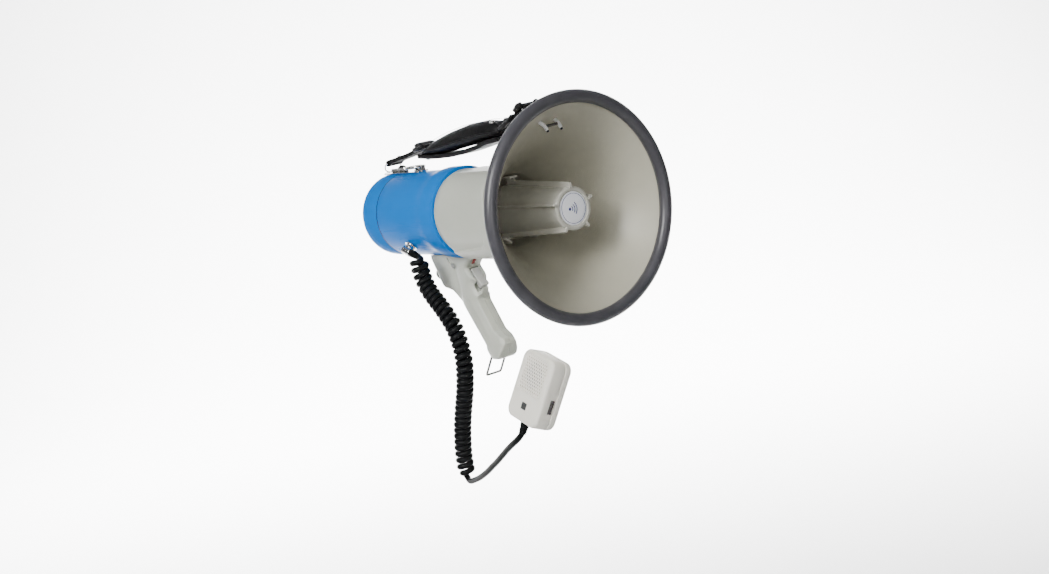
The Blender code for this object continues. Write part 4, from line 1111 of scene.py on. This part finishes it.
def make_grille():
    """The framed lattice, the plate behind it in a darker cream that paints the shade seen through the holes,
    and the cloth over the capsule.
    """
    rim = loft(square_rings((18.1, 2.0, -10.6), (18.1, 2.0, -11.9), (17.8, 1.9, -12.35), (17.2, 1.6, -12.35),
                            (16.9, 1.5, -11.9), (16.9, 1.5, -10.6)), closed=True)
    piece("grille", join_meshes(raised(rim, GRILLE_Z), *lattice_bars()), CREAM, place=MIC, slot="mic_plastic",
          replaces="mic_grille")
    # the backing plate is coloured as painted shade behind the lattice's holes
    backing = loft(square_rings((18.1, 2.0, -9.4), (18.1, 2.0, -11.35)))
    piece("grille_backing", raised(backing, GRILLE_Z), CREAM_PAINTED_SHADE, place=MIC, slot="mic_plastic")
    cloth = lathe([(0.0, -11.5), (9.0, -11.48), (12.2, -11.42), (12.4, -11.2), (0.0, -11.2)], 64)
    piece("grille_cloth", raised(cloth, GRILLE_Z + 0.5), CLOTH, place=MIC, slot="black_plastic")


def make_mic_case():
    """The two halves of the case with their openings, and the screws in the back."""
    front = mesh_object("mic_case_front", *loft(case_rings(-12.0, -8.9, 3.1, -1.0)), place=MIC)
    back = mesh_object("mic_case_back", *loft(case_rings(12.0, 8.4, 3.9, 1.0)), place=MIC)
    openings = {
        "window": raised(loft(square_rings((18.35, 2.1, -9.3), (18.35, 2.1, -14.0))), GRILLE_Z),
        "badge_seat": box_mesh((7.9, 1.4, 6.9), (0.0, -12.0, -18.0)),
        "side_recess": box_mesh((3.0, 8.0, 25.0), (26.0, -1.5, -9.5)),
        "button_slot": box_mesh((10.0, 4.9, 13.9), (24.0, -0.3, -9.5)),
        "cord_hole": rod_mesh((0.0, -4.0, -36.0), (0.0, -4.0, -29.0), 2.8),
    }
    tools = [mesh_object(name, *mesh, place=MIC) for name, mesh in openings.items()]
    cut(front, *tools)
    settle(front)
    cut(back, *tools[2:4])
    settle(back, tools)
    dress(front, CREAM, slot="mic_plastic", replaces="mic_front_shell")
    dress(back, CREAM, slot="mic_plastic", replaces="mic_rear_shell")
    head = [(0.0, 12.9), (1.4, 12.85), (2.1, 12.55), (2.3, 12.1), (2.3, 11.4), (0.0, 11.4)]
    screws = [lathe(head, 24, (x, 0.0, z)) for x in (-16.0, 16.0) for z in (-24.0, 24.0)]
    piece("mic_screws", join_meshes(*screws), STEEL, place=MIC, slot="steel")


def make_mic_fittings():
    """The badge, the ribbed talk key and the cord's boot, which is handed back."""
    badge = mesh_object("badge", *box_mesh((7.5, 0.9, 6.5), (0.0, -11.8, -18.0)), place=MIC)
    round_edges(badge, 0.25, 2)
    dress(settle(badge), BADGE, slot="dark_button", replaces="mic_badge")
    rings = []
    steps = 24
    for index in range(steps + 1):
        z = -9.5 + 13.0 * (index / steps - 0.5)
        crest = (0.0, 0.3, 0.42, 0.3)[index % 4]
        rings.append([(x, y, z) for x, y in ((21.5, -2.0), (24.5 + crest, -2.0), (25.1 + crest, -1.4),
                                             (25.1 + crest, 0.8), (24.5 + crest, 1.4), (21.5, 1.4))])
    piece("talk_key", loft(rings), DARK_BUTTON, place=MIC, body="talk_button", slot="dark_button",
          replaces="mic_talk_button")
    line = [(0.0, -4.0, z) for z in np.linspace(-30.5, -44.6, 48)]
    radii = []
    for _, _, z in line:
        taper = 2.62 if z > -33.4 else 4.6 + (z + 33.4) * 0.085
        groove = 0.42 if z < -38.2 and math.sin((z + 38.2) * 2.0 * math.pi / 1.6) < -0.2 else 0.0
        radii.append(taper - groove - (0.5 if z < -44.4 else 0.0))
    return piece("mic_boot", sweep(line, radii, 40), CORD, place=MIC, slot="cord_rubber",
                 replaces="mic_cord_boot", angle=30.0)


# ---------------------------------------------------------------- microphone plug

PLUG_CORNER = Vector((-42.6, 263.0, -33.9))
PLUG_OUT = Vector((-0.7826, 0.0, -0.6225))
PLUG_AXIS = Vector((0.0, -0.9507, -0.3102))


def turned(line, start, way, sides=40):
    """A turned shape from (distance, radius) steps along a direction."""
    return sweep([start + way * distance for distance, _ in line], [radius for _, radius in line], sides)


def make_plug():
    """The socket's collar, the chrome elbow plug, and the ribbed boot on the cord."""
    origin = Vector((0.0, 263.0, 0.0))
    collar = turned([(38.5, 4.5), (45.0, 4.5), (46.4, 4.6), (46.45, 6.9), (46.8, 7.3), (47.6, 7.3),
                     (48.0, 6.9), (48.05, 5.6), (48.3, 5.5)], origin, PLUG_OUT)
    piece("socket_collar", collar, CHROME, slot="chrome", replaces="mic_socket", angle=30.0)
    neck = turned([(48.45, 3.6), (48.5, 5.0), (49.0, 5.3), (50.8, 5.3), (51.2, 5.0), (51.25, 4.3),
                   (54.4, 4.3)], origin, PLUG_OUT)
    shell = turned([(-6.3, 3.4), (-6.1, 4.3), (-5.5, 4.75), (-3.2, 4.8), (-3.1, 4.45), (-2.6, 4.45),
                    (-2.5, 4.8), (1.6, 4.8), (1.7, 4.45), (2.2, 4.45), (2.3, 4.8), (6.2, 4.8), (6.8, 4.4),
                    (7.0, 3.8)], PLUG_CORNER, PLUG_AXIS)
    plug = piece("plug_body", join_meshes(neck, shell), CHROME, slot="chrome", replaces="mic_plug_shell",
                 angle=30.0)
    steps = 56
    ribs = [(7.2 + 14.2 * step / steps,
             4.4 - 0.9 * (step / steps) - (0.45 if step > 14 and (step // 3) % 2 else 0.0))
            for step in range(steps + 1)]
    boot = piece("plug_boot", turned(ribs, PLUG_CORNER, PLUG_AXIS, 36), CORD, slot="cord_rubber",
                 replaces="mic_plug_boot", angle=30.0)
    return plug, boot


# ---------------------------------------------------------------- carrying strap

REAR_ROUTE = [(257.0, 72.4), (268.0, 70.1), (284.0, 66.9), (300.0, 64.4), (311.0, 62.9), (319.0, 61.9),
              (323.5, 61.2), (326.4, 60.0), (327.1, 58.3), (325.8, 56.6), (323.2, 56.6), (318.0, 59.4),
              (308.0, 61.2), (300.0, 62.4), (284.0, 64.9), (268.0, 68.0), (257.0, 70.3)]
FRONT_ROUTE = [(112.0, 84.6), (104.0, 85.0), (96.0, 86.2), (86.0, 90.6), (78.0, 95.4), (68.0, 100.4),
               (60.5, 104.2), (57.0, 105.6), (54.4, 104.9), (53.6, 102.4), (55.4, 100.6), (60.0, 100.2),
               (68.0, 97.8), (78.0, 92.8), (86.0, 88.0), (96.0, 83.2), (104.0, 81.4), (112.0, 80.4)]
BAND_ROUTE = [(254.0, 64.4), (246.0, 63.8), (236.0, 63.2), (224.0, 62.7), (210.0, 62.7), (189.0, 63.3),
              (170.0, 65.0), (156.0, 67.0), (142.0, 69.2), (128.0, 72.6), (114.0, 73.9), (103.0, 75.2)]


def ribbon(route, width, thickness):
    """A flat band with rounded edges along a (y, z) route."""
    line = smooth_route([(0.0, y, z) for y, z in route], 1.8)
    half = 0.5 * width
    upper = [(-half, -0.45), (-half, 0.45), (-half + 0.35, 0.9), (-half + 1.0, 1.0), (-0.5 * half, 1.0),
             (0.0, 1.03), (0.5 * half, 1.0), (half - 1.0, 1.0), (half - 0.35, 0.9)]
    section = upper + [(-x, -b) for x, b in upper]
    rings = []
    for index, point in enumerate(line):
        before, after = line[max(index - 1, 0)], line[min(index + 1, len(line) - 1)]
        way = (after - before).normalized()
        out = Vector((0.0, -way.z, way.y))
        rings.append([tuple(point + Vector((x, 0.0, 0.0)) + out * (b * 0.5 * thickness)) for x, b in section])
    return loft(rings)


def stitches(line, pitch=3.1, length=2.2, radius=0.28):
    """Thread lying on a surface along a line of points."""
    made = []
    travelled, following = 0.0, 0.0
    proud = Vector((0.0, 0.0, 0.12))
    for before, middle in zip(line, line[1:]):
        travelled += (middle - before).length
        if travelled >= following:
            way = (middle - before).normalized()
            points = [middle - way * 0.5 * length, middle - way * 0.3 * length + proud, middle + way * 0.3 *
                      length + proud, middle + way * 0.5 * length]
            made.append(sweep(points, [radius * 0.7, radius, radius, radius * 0.7], 6))
            following += pitch
    return made


def rivet(y, z, x, tilt):
    """A small snap rivet whose head stands on a band that tilts along the megaphone."""
    dome = [(0.0, 2.0), (1.3, 1.85), (2.3, 1.35), (2.9, 0.55), (3.0, 0.2), (3.0, -0.6), (0.0, -0.6)]
    points, faces = lathe(dome, 28)
    turn = Matrix.Rotation(math.radians(90.0 + tilt), 3, "X")
    return [tuple(turn @ Vector(point) + Vector((x, y, z))) for point in points], faces


PAD_ROWS = [
    (249.0, 70.0, 65.6, 8.5), (246.5, 71.6, 65.0, 11.5), (241.0, 73.8, 64.6, 14.2),
    (233.0, 77.2, 64.4, 15.8), (222.0, 81.2, 64.6, 16.5), (208.0, 84.8, 64.8, 16.9),
    (192.0, 88.2, 66.2, 17.0), (176.0, 90.8, 68.4, 17.0), (160.0, 93.4, 69.8, 17.0),
    (146.0, 94.4, 71.9, 17.0), (134.0, 95.0, 73.9, 16.8), (124.0, 94.4, 75.2, 16.4),
    (115.0, 93.4, 75.6, 15.8), (108.0, 92.6, 76.4, 15.0), (103.5, 91.8, 77.2, 13.4),
    (101.0, 90.0, 79.0, 10.0),
]


def pad_middle(top, bottom):
    """The height of the pad's seams, which run below the middle of its thickness."""
    return bottom + 0.36 * (top - bottom)


def pad_ring(y, top, bottom, half):
    """A pillow-shaped section: crowned above, flatter beneath, pinched at both edges."""
    middle = pad_middle(top, bottom)
    shrink = 0.9
    ring = []
    for angle in circle(40):
        c, s = math.cos(angle), math.sin(angle)
        x = (half - shrink) * math.copysign(abs(c) ** 0.82, c)
        lift = (top - middle - shrink) if s > 0.0 else (middle - bottom - shrink)
        ring.append((x, y, middle + max(lift, 0.3) * math.copysign(abs(s) ** 0.86, s)))
    return ring


def swell(piece, most, frames=20):
    """Blow a soft piece up a little with a cloth simulation, holding its seams, and keep the result."""
    bpy.context.view_layer.objects.active = piece
    remesh = piece.modifiers.new("remesh", "REMESH")
    remesh.mode = "VOXEL"
    remesh.voxel_size = 0.0021
    settle(piece)
    rest = np.array([vertex.co[:] for vertex in piece.data.vertices])
    spine = [(y, pad_middle(top, bottom), half) for y, top, bottom, half in reversed(PAD_ROWS)]
    ys, mids, halves = (np.array(column) for column in zip(*spine))
    local = rest / MM - np.array(HORN.translation[:]) / MM
    middle = np.interp(local[:, 1], ys, mids)
    half = np.interp(local[:, 1], ys, halves)
    at_edge = (np.abs(local[:, 0]) > half - 2.6) & (np.abs(local[:, 2] - middle) < 1.7)
    at_end = (local[:, 1] > 244.0) | (local[:, 1] < 105.0)
    held = piece.vertex_groups.new(name="held")
    held.add([int(index) for index in np.nonzero(at_edge | at_end)[0]], 1.0, "REPLACE")
    cloth = piece.modifiers.new("cloth", "CLOTH")
    for setting, value in (("use_pressure", True), ("uniform_pressure_force", 4.0),
                           ("vertex_group_mass", "held"), ("mass", 0.2), ("tension_stiffness", 12.0),
                           ("compression_stiffness", 6.0), ("bending_stiffness", 0.4)):
        setattr(cloth.settings, setting, value)
    cloth.settings.effector_weights.gravity = 0.0
    cloth.point_cache.frame_start, cloth.point_cache.frame_end = 1, frames
    for step in range(1, frames + 1):
        bpy.context.scene.frame_set(step)
    settle(piece)
    bpy.context.scene.frame_set(1)
    moved = np.array([vertex.co[:] for vertex in piece.data.vertices]) - rest
    size = np.linalg.norm(moved, axis=1)
    moved *= np.minimum(1.0, most * MM / np.maximum(size, 1e-9))[:, None]
    piece.data.vertices.foreach_set("co", (rest + moved).ravel())
    piece.data.update()
    piece.vertex_groups.clear()
    smooth = piece.modifiers.new("smooth", "SUBSURF")
    smooth.levels = smooth.render_levels = 1
    return settle(piece)


def make_pad():
    """The padded grip, its piping and stitching, and the band under it."""
    pad = mesh_object("grip_pad", *loft([pad_ring(*row) for row in PAD_ROWS]))
    swell(pad, 2.2)
    dress(pad, VINYL, slot="strap_webbing", replaces="strap_pad", angle=60.0)
    edges, seams = [], []
    for side in (-1.0, 1.0):
        edges.append(sweep(smooth_route([(side * (half - 0.1), y, pad_middle(top, bottom)) for y, top, bottom,
                                         half in PAD_ROWS], 2.0), 0.95, 10))
        seams += stitches(smooth_route([(side * (half - 5.6), y, top - 0.62 - 0.028 * (top - bottom)) for y,
                                        top, bottom, half in PAD_ROWS[2:-2]], 1.0))
    piece("pad_piping", join_meshes(*edges), VINYL, slot="strap_webbing")
    piece("pad_stitching", join_meshes(*seams), THREAD, slot="strap_webbing")
    piece("grip_band", ribbon(BAND_ROUTE, 27.0, 4.6), VINYL, slot="strap_webbing")


def buckle_frame(length, bar, centre, tilt, crossbars, lift):
    """A moulded frame with rounded bars, bent up a little at both ends."""
    half_w, half_l = 14.5 - bar, 0.5 * length - bar
    turn = Matrix.Rotation(math.radians(tilt), 3, "X")

    def placed(x, along, up):
        return tuple(turn @ Vector((x, along, up + lift * (along / half_l) ** 2)) + Vector(centre))

    corners = fillet([(-half_w, -half_l, 2.2), (half_w, -half_l, 2.2), (half_w, half_l, 2.2),
                      (-half_w, half_l, 2.2)], 5)
    shapes = [sweep([placed(x, along, 0.0) for x, along in corners], bar, 12, closed=True,
                    start_side=(0.0, 0.0, 1.0))]
    for along, up in crossbars:
        shapes.append(sweep([placed(-half_w, along, up), placed(half_w, along, up)], bar * 0.95, 12))
    return shapes


def make_strap():
    """Webbing at both ends, two buckles, the slider on the front wire, rivets and stitching."""
    piece("rear_webbing", ribbon(REAR_ROUTE, 19.0, 2.3), WEBBING, slot="strap_webbing",
          replaces="strap_webbing_rear")
    piece("front_webbing", ribbon(FRONT_ROUTE, 19.0, 1.4), WEBBING, slot="strap_webbing",
          replaces="strap_webbing_front")
    rear = buckle_frame(19.0, 2.4, (0.0, 254.2, 71.4), -8.0, [(0.0, 0.8), (-3.9, 2.8)], 1.6)
    tongue = ribbon([(263.5, 75.4), (258.0, 77.2), (252.0, 76.8), (247.0, 75.0), (243.0, 74.0)], 18.0, 3.2)
    piece("rear_buckle", join_meshes(*rear, tongue), DARK, slot="black_plastic", replaces="strap_buckle_rear")
    front = buckle_frame(20.0, 2.6, (0.0, 89.6, 87.4), -24.0, [(0.0, 0.8), (3.8, 2.6)], 1.8)
    cover = ribbon([(103.0, 89.4), (97.0, 91.0), (91.0, 92.4), (84.0, 93.8), (79.0, 96.6)], 19.0, 3.4)
    piece("front_buckle", join_meshes(*front, cover), DARK, slot="black_plastic",
          replaces="strap_buckle_front")
    arm = ((10.8, 68.5, 101.6), (10.8, 62.0, 105.5), (9.6, 58.0, 107.2))
    slider = [sweep([(side * x, y, z) for x, y, z in arm], [2.3, 3.1, 2.5], 16) for side in (-1.0, 1.0)]
    slider.append(sweep([(-10.8, 63.0, 105.0), (10.8, 63.0, 105.0)], 2.4, 16))
    piece("front_slider", join_meshes(*slider), DARK, slot="black_plastic")
    pairs = ((305.0, 64.4, 4.5, -7.0), (240.0, 61.4, 9.0, 176.0), (112.0, 92.4, 9.0, 7.0))
    heads = [rivet(y, z, side * x, tilt) for y, z, x, tilt in pairs for side in (-1.0, 1.0)]
    piece("strap_rivets", join_meshes(*heads), STEEL, slot="steel")
    top = [(y, z + 0.98) for y, z in REAR_ROUTE[1:6]]
    lines = [smooth_route([(x, y, z) for y, z in top], 1.0) for x in (-7.6, 7.6)]
    for y in (290.0, 318.0):
        z = float(np.interp(y, *zip(*top)))
        lines.append([Vector((-7.6 + 0.8 * step, y, z)) for step in range(20)])
    threads = [thread for line in lines for thread in stitches(line, 2.6, 1.8, 0.22)]
    piece("webbing_stitching", join_meshes(*threads), THREAD, slot="strap_webbing")


# ---------------------------------------------------------------- strap fittings


def make_rear_bracket():
    """A bent chrome strip along the barrel's top, an ear with the ring through it, and two screws."""
    near, far = 268.5, 340.5
    outline = fillet([(-8.5, near, 4.0), (8.5, near, 4.0), (8.5, far, 6.0), (-8.5, far, 6.0)], 8)
    rows = []
    for radius, inset in ((46.75, 0.0), (47.9, 0.0), (48.15, 0.3)):
        places = [((x - math.copysign(inset, x)) / 47.0, min(max(y, near + inset), far - inset)) for x,
                  y in outline]
        rows.append([(radius * math.sin(angle), y, radius * math.cos(angle)) for angle, y in places])
    piece("rear_bracket_strip", loft(rows), CHROME, slot="chrome", replaces="rear_strap_bracket", angle=30.0)
    ear_outline = fillet([(266.6, 46.6, 1.0), (274.2, 46.6, 1.0), (273.4, 53.4, 2.6), (267.4, 53.4, 2.6)], 6)
    ear = loft([[(x, y, z) for y, z in ear_outline] for x in (-2.2, -1.9, 1.9, 2.2)])
    tube = sweep([(0.0, 300.5, 49.6), (0.0, 331.0, 49.6)], 2.0, 24)
    hump = sweep([(0.0, 303.0, 48.6), (0.0, 304.5, 50.6), (0.0, 308.0, 51.6), (0.0, 312.0, 51.4),
                  (0.0, 315.5, 50.4), (0.0, 317.0, 48.6)], [2.2, 3.0, 3.3, 3.3, 3.0, 2.2], 20)
    head, faces = lathe([(0.0, 2.3), (1.2, 2.2), (2.3, 1.7), (3.1, 0.8), (3.3, 0.0), (0.0, 0.0)], 24)
    screws = [([(x, at + z, 47.6 + y) for x, y, z in head], faces) for at in (281.0, 324.0)]
    fittings = mesh_object("rear_bracket_fittings", *join_meshes(ear, tube, hump, *screws))
    hole = mesh_object("ring_hole", *rod_mesh((-5.0, 270.2, 51.6), (5.0, 270.2, 51.6), 1.75))
    cut(fittings, hole)
    dress(settle(fittings, [hole]), CHROME, slot="chrome", angle=30.0)
    ring = [(9.4 * math.cos(a), 283.4 + 13.1 * math.sin(a), 51.6) for a in circle(48)]
    piece("ring_wire", sweep(ring, 1.25, 14, closed=True, start_side=(0.0, 0.0, 1.0)), CHROME,
          body="strap_ring", slot="chrome", replaces="rear_strap_ring")
    half_wire = [(-7.2, 320.0, 49.3), (-7.4, 326.6, 49.0), (-10.2, 329.4, 51.2), (-10.6, 328.2, 56.4),
                 (-10.6, 324.2, 58.4)]
    wire = rounded_path(half_wire + [(-x, y, z) for x, y, z in half_wire[::-1]], 2.0)
    piece("rear_wire", sweep(path_clear(wire), 0.8, 12), CHROME, slot="chrome", replaces="rear_strap_wire")


def make_front_bracket():
    half_wire = [(-8.8, 30.0, 93.9), (-8.8, 42.0, 96.2), (-8.8, 51.0, 99.6), (-10.7, 56.6, 102.5)]
    wire = rounded_path(half_wire + [(-x, y, z) for x, y, z in half_wire[::-1]], 1.5)
    piece("front_wire", sweep(path_clear(wire), 1.05, 12), CHROME, slot="chrome", replaces="front_strap_loop")


def make_inner_clip():
    """Two bent prongs through the bell with black ends, coloured near white as painted highlight, and the
    dull dark bar that joins them, whose tone also paints the shade between the prongs.
    """
    routes = [[(-22.0, 21.6, 92.0), (-20.0, 20.6, 89.0), (-16.0, 18.6, 84.4), (-14.2, 17.0, 79.4)],
              [(0.8, 24.8, 91.0), (1.5, 23.0, 88.2), (2.5, 19.6, 84.0), (2.7, 16.7, 79.0)]]
    prongs, tips = [], []
    for route in routes:
        line = smooth_route(route, 0.8)
        prongs.append(sweep(line, [1.9] * (len(line) - 2) + [1.7, 1.3], 18))
        end, way = line[-1], (line[-1] - line[-2]).normalized()
        tips.append(sweep([end + reach * way for reach in (-0.2, 0.2, 1.3, 1.7)], [0.9, 1.3, 1.25, 0.8], 16))
    # the bar is a real part; its dark dull steel also paints the shade between the prongs
    bar = sweep([(-16.6, 18.9, 84.2), (-15.4, 18.7, 83.6), (2.0, 19.9, 83.6), (3.2, 20.2, 84.0)],
                [1.0, 1.5, 1.5, 1.0], 14)
    # the prongs take the near-white painted highlight
    piece("inner_clip_prongs", join_meshes(*prongs), WIRE_PAINTED_HIGHLIGHT, slot="chrome", replaces="bell_inner_clip")
    piece("inner_clip_bar", bar, STEEL_DARK, slot="steel")
    piece("inner_clip_tips", join_meshes(*tips), DARK, slot="black_plastic")


make_grille()
make_mic_case()
cord_pieces = [make_mic_fittings(), *make_plug()]
make_pad()
make_strap()
make_rear_bracket()
make_front_bracket()
make_inner_clip()

# ---------------------------------------------------------------- finish on the CAD pieces that still show

CAD_LOOKS = {
    BOARD: "amplifier_board mic_board", CARRIER: "battery_carrier", FILM: "driver_diaphragm",
    COPPER: "voice_coil", FERRITE: "driver_magnet",
    STEEL: "driver_top_plate driver_yoke trigger_pin trigger_spring",
    ALUMINIUM: "heatsink mic_capsule", SLEEVE: "output_capacitor", TRANSFORMER: "output_transformer",
    CHROME: "front_strap_bracket handle_screw", CAP_GREY: "throat_tube", DARK: "trigger_switch",
    CELL: " ".join(f"battery_cell_{cell}" for cell in range(1, 9)),
}
for look, cad_names in CAD_LOOKS.items():
    for cad_name in cad_names.split():
        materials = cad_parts[cad_name].data.materials
        materials.clear()
        materials.append(look)
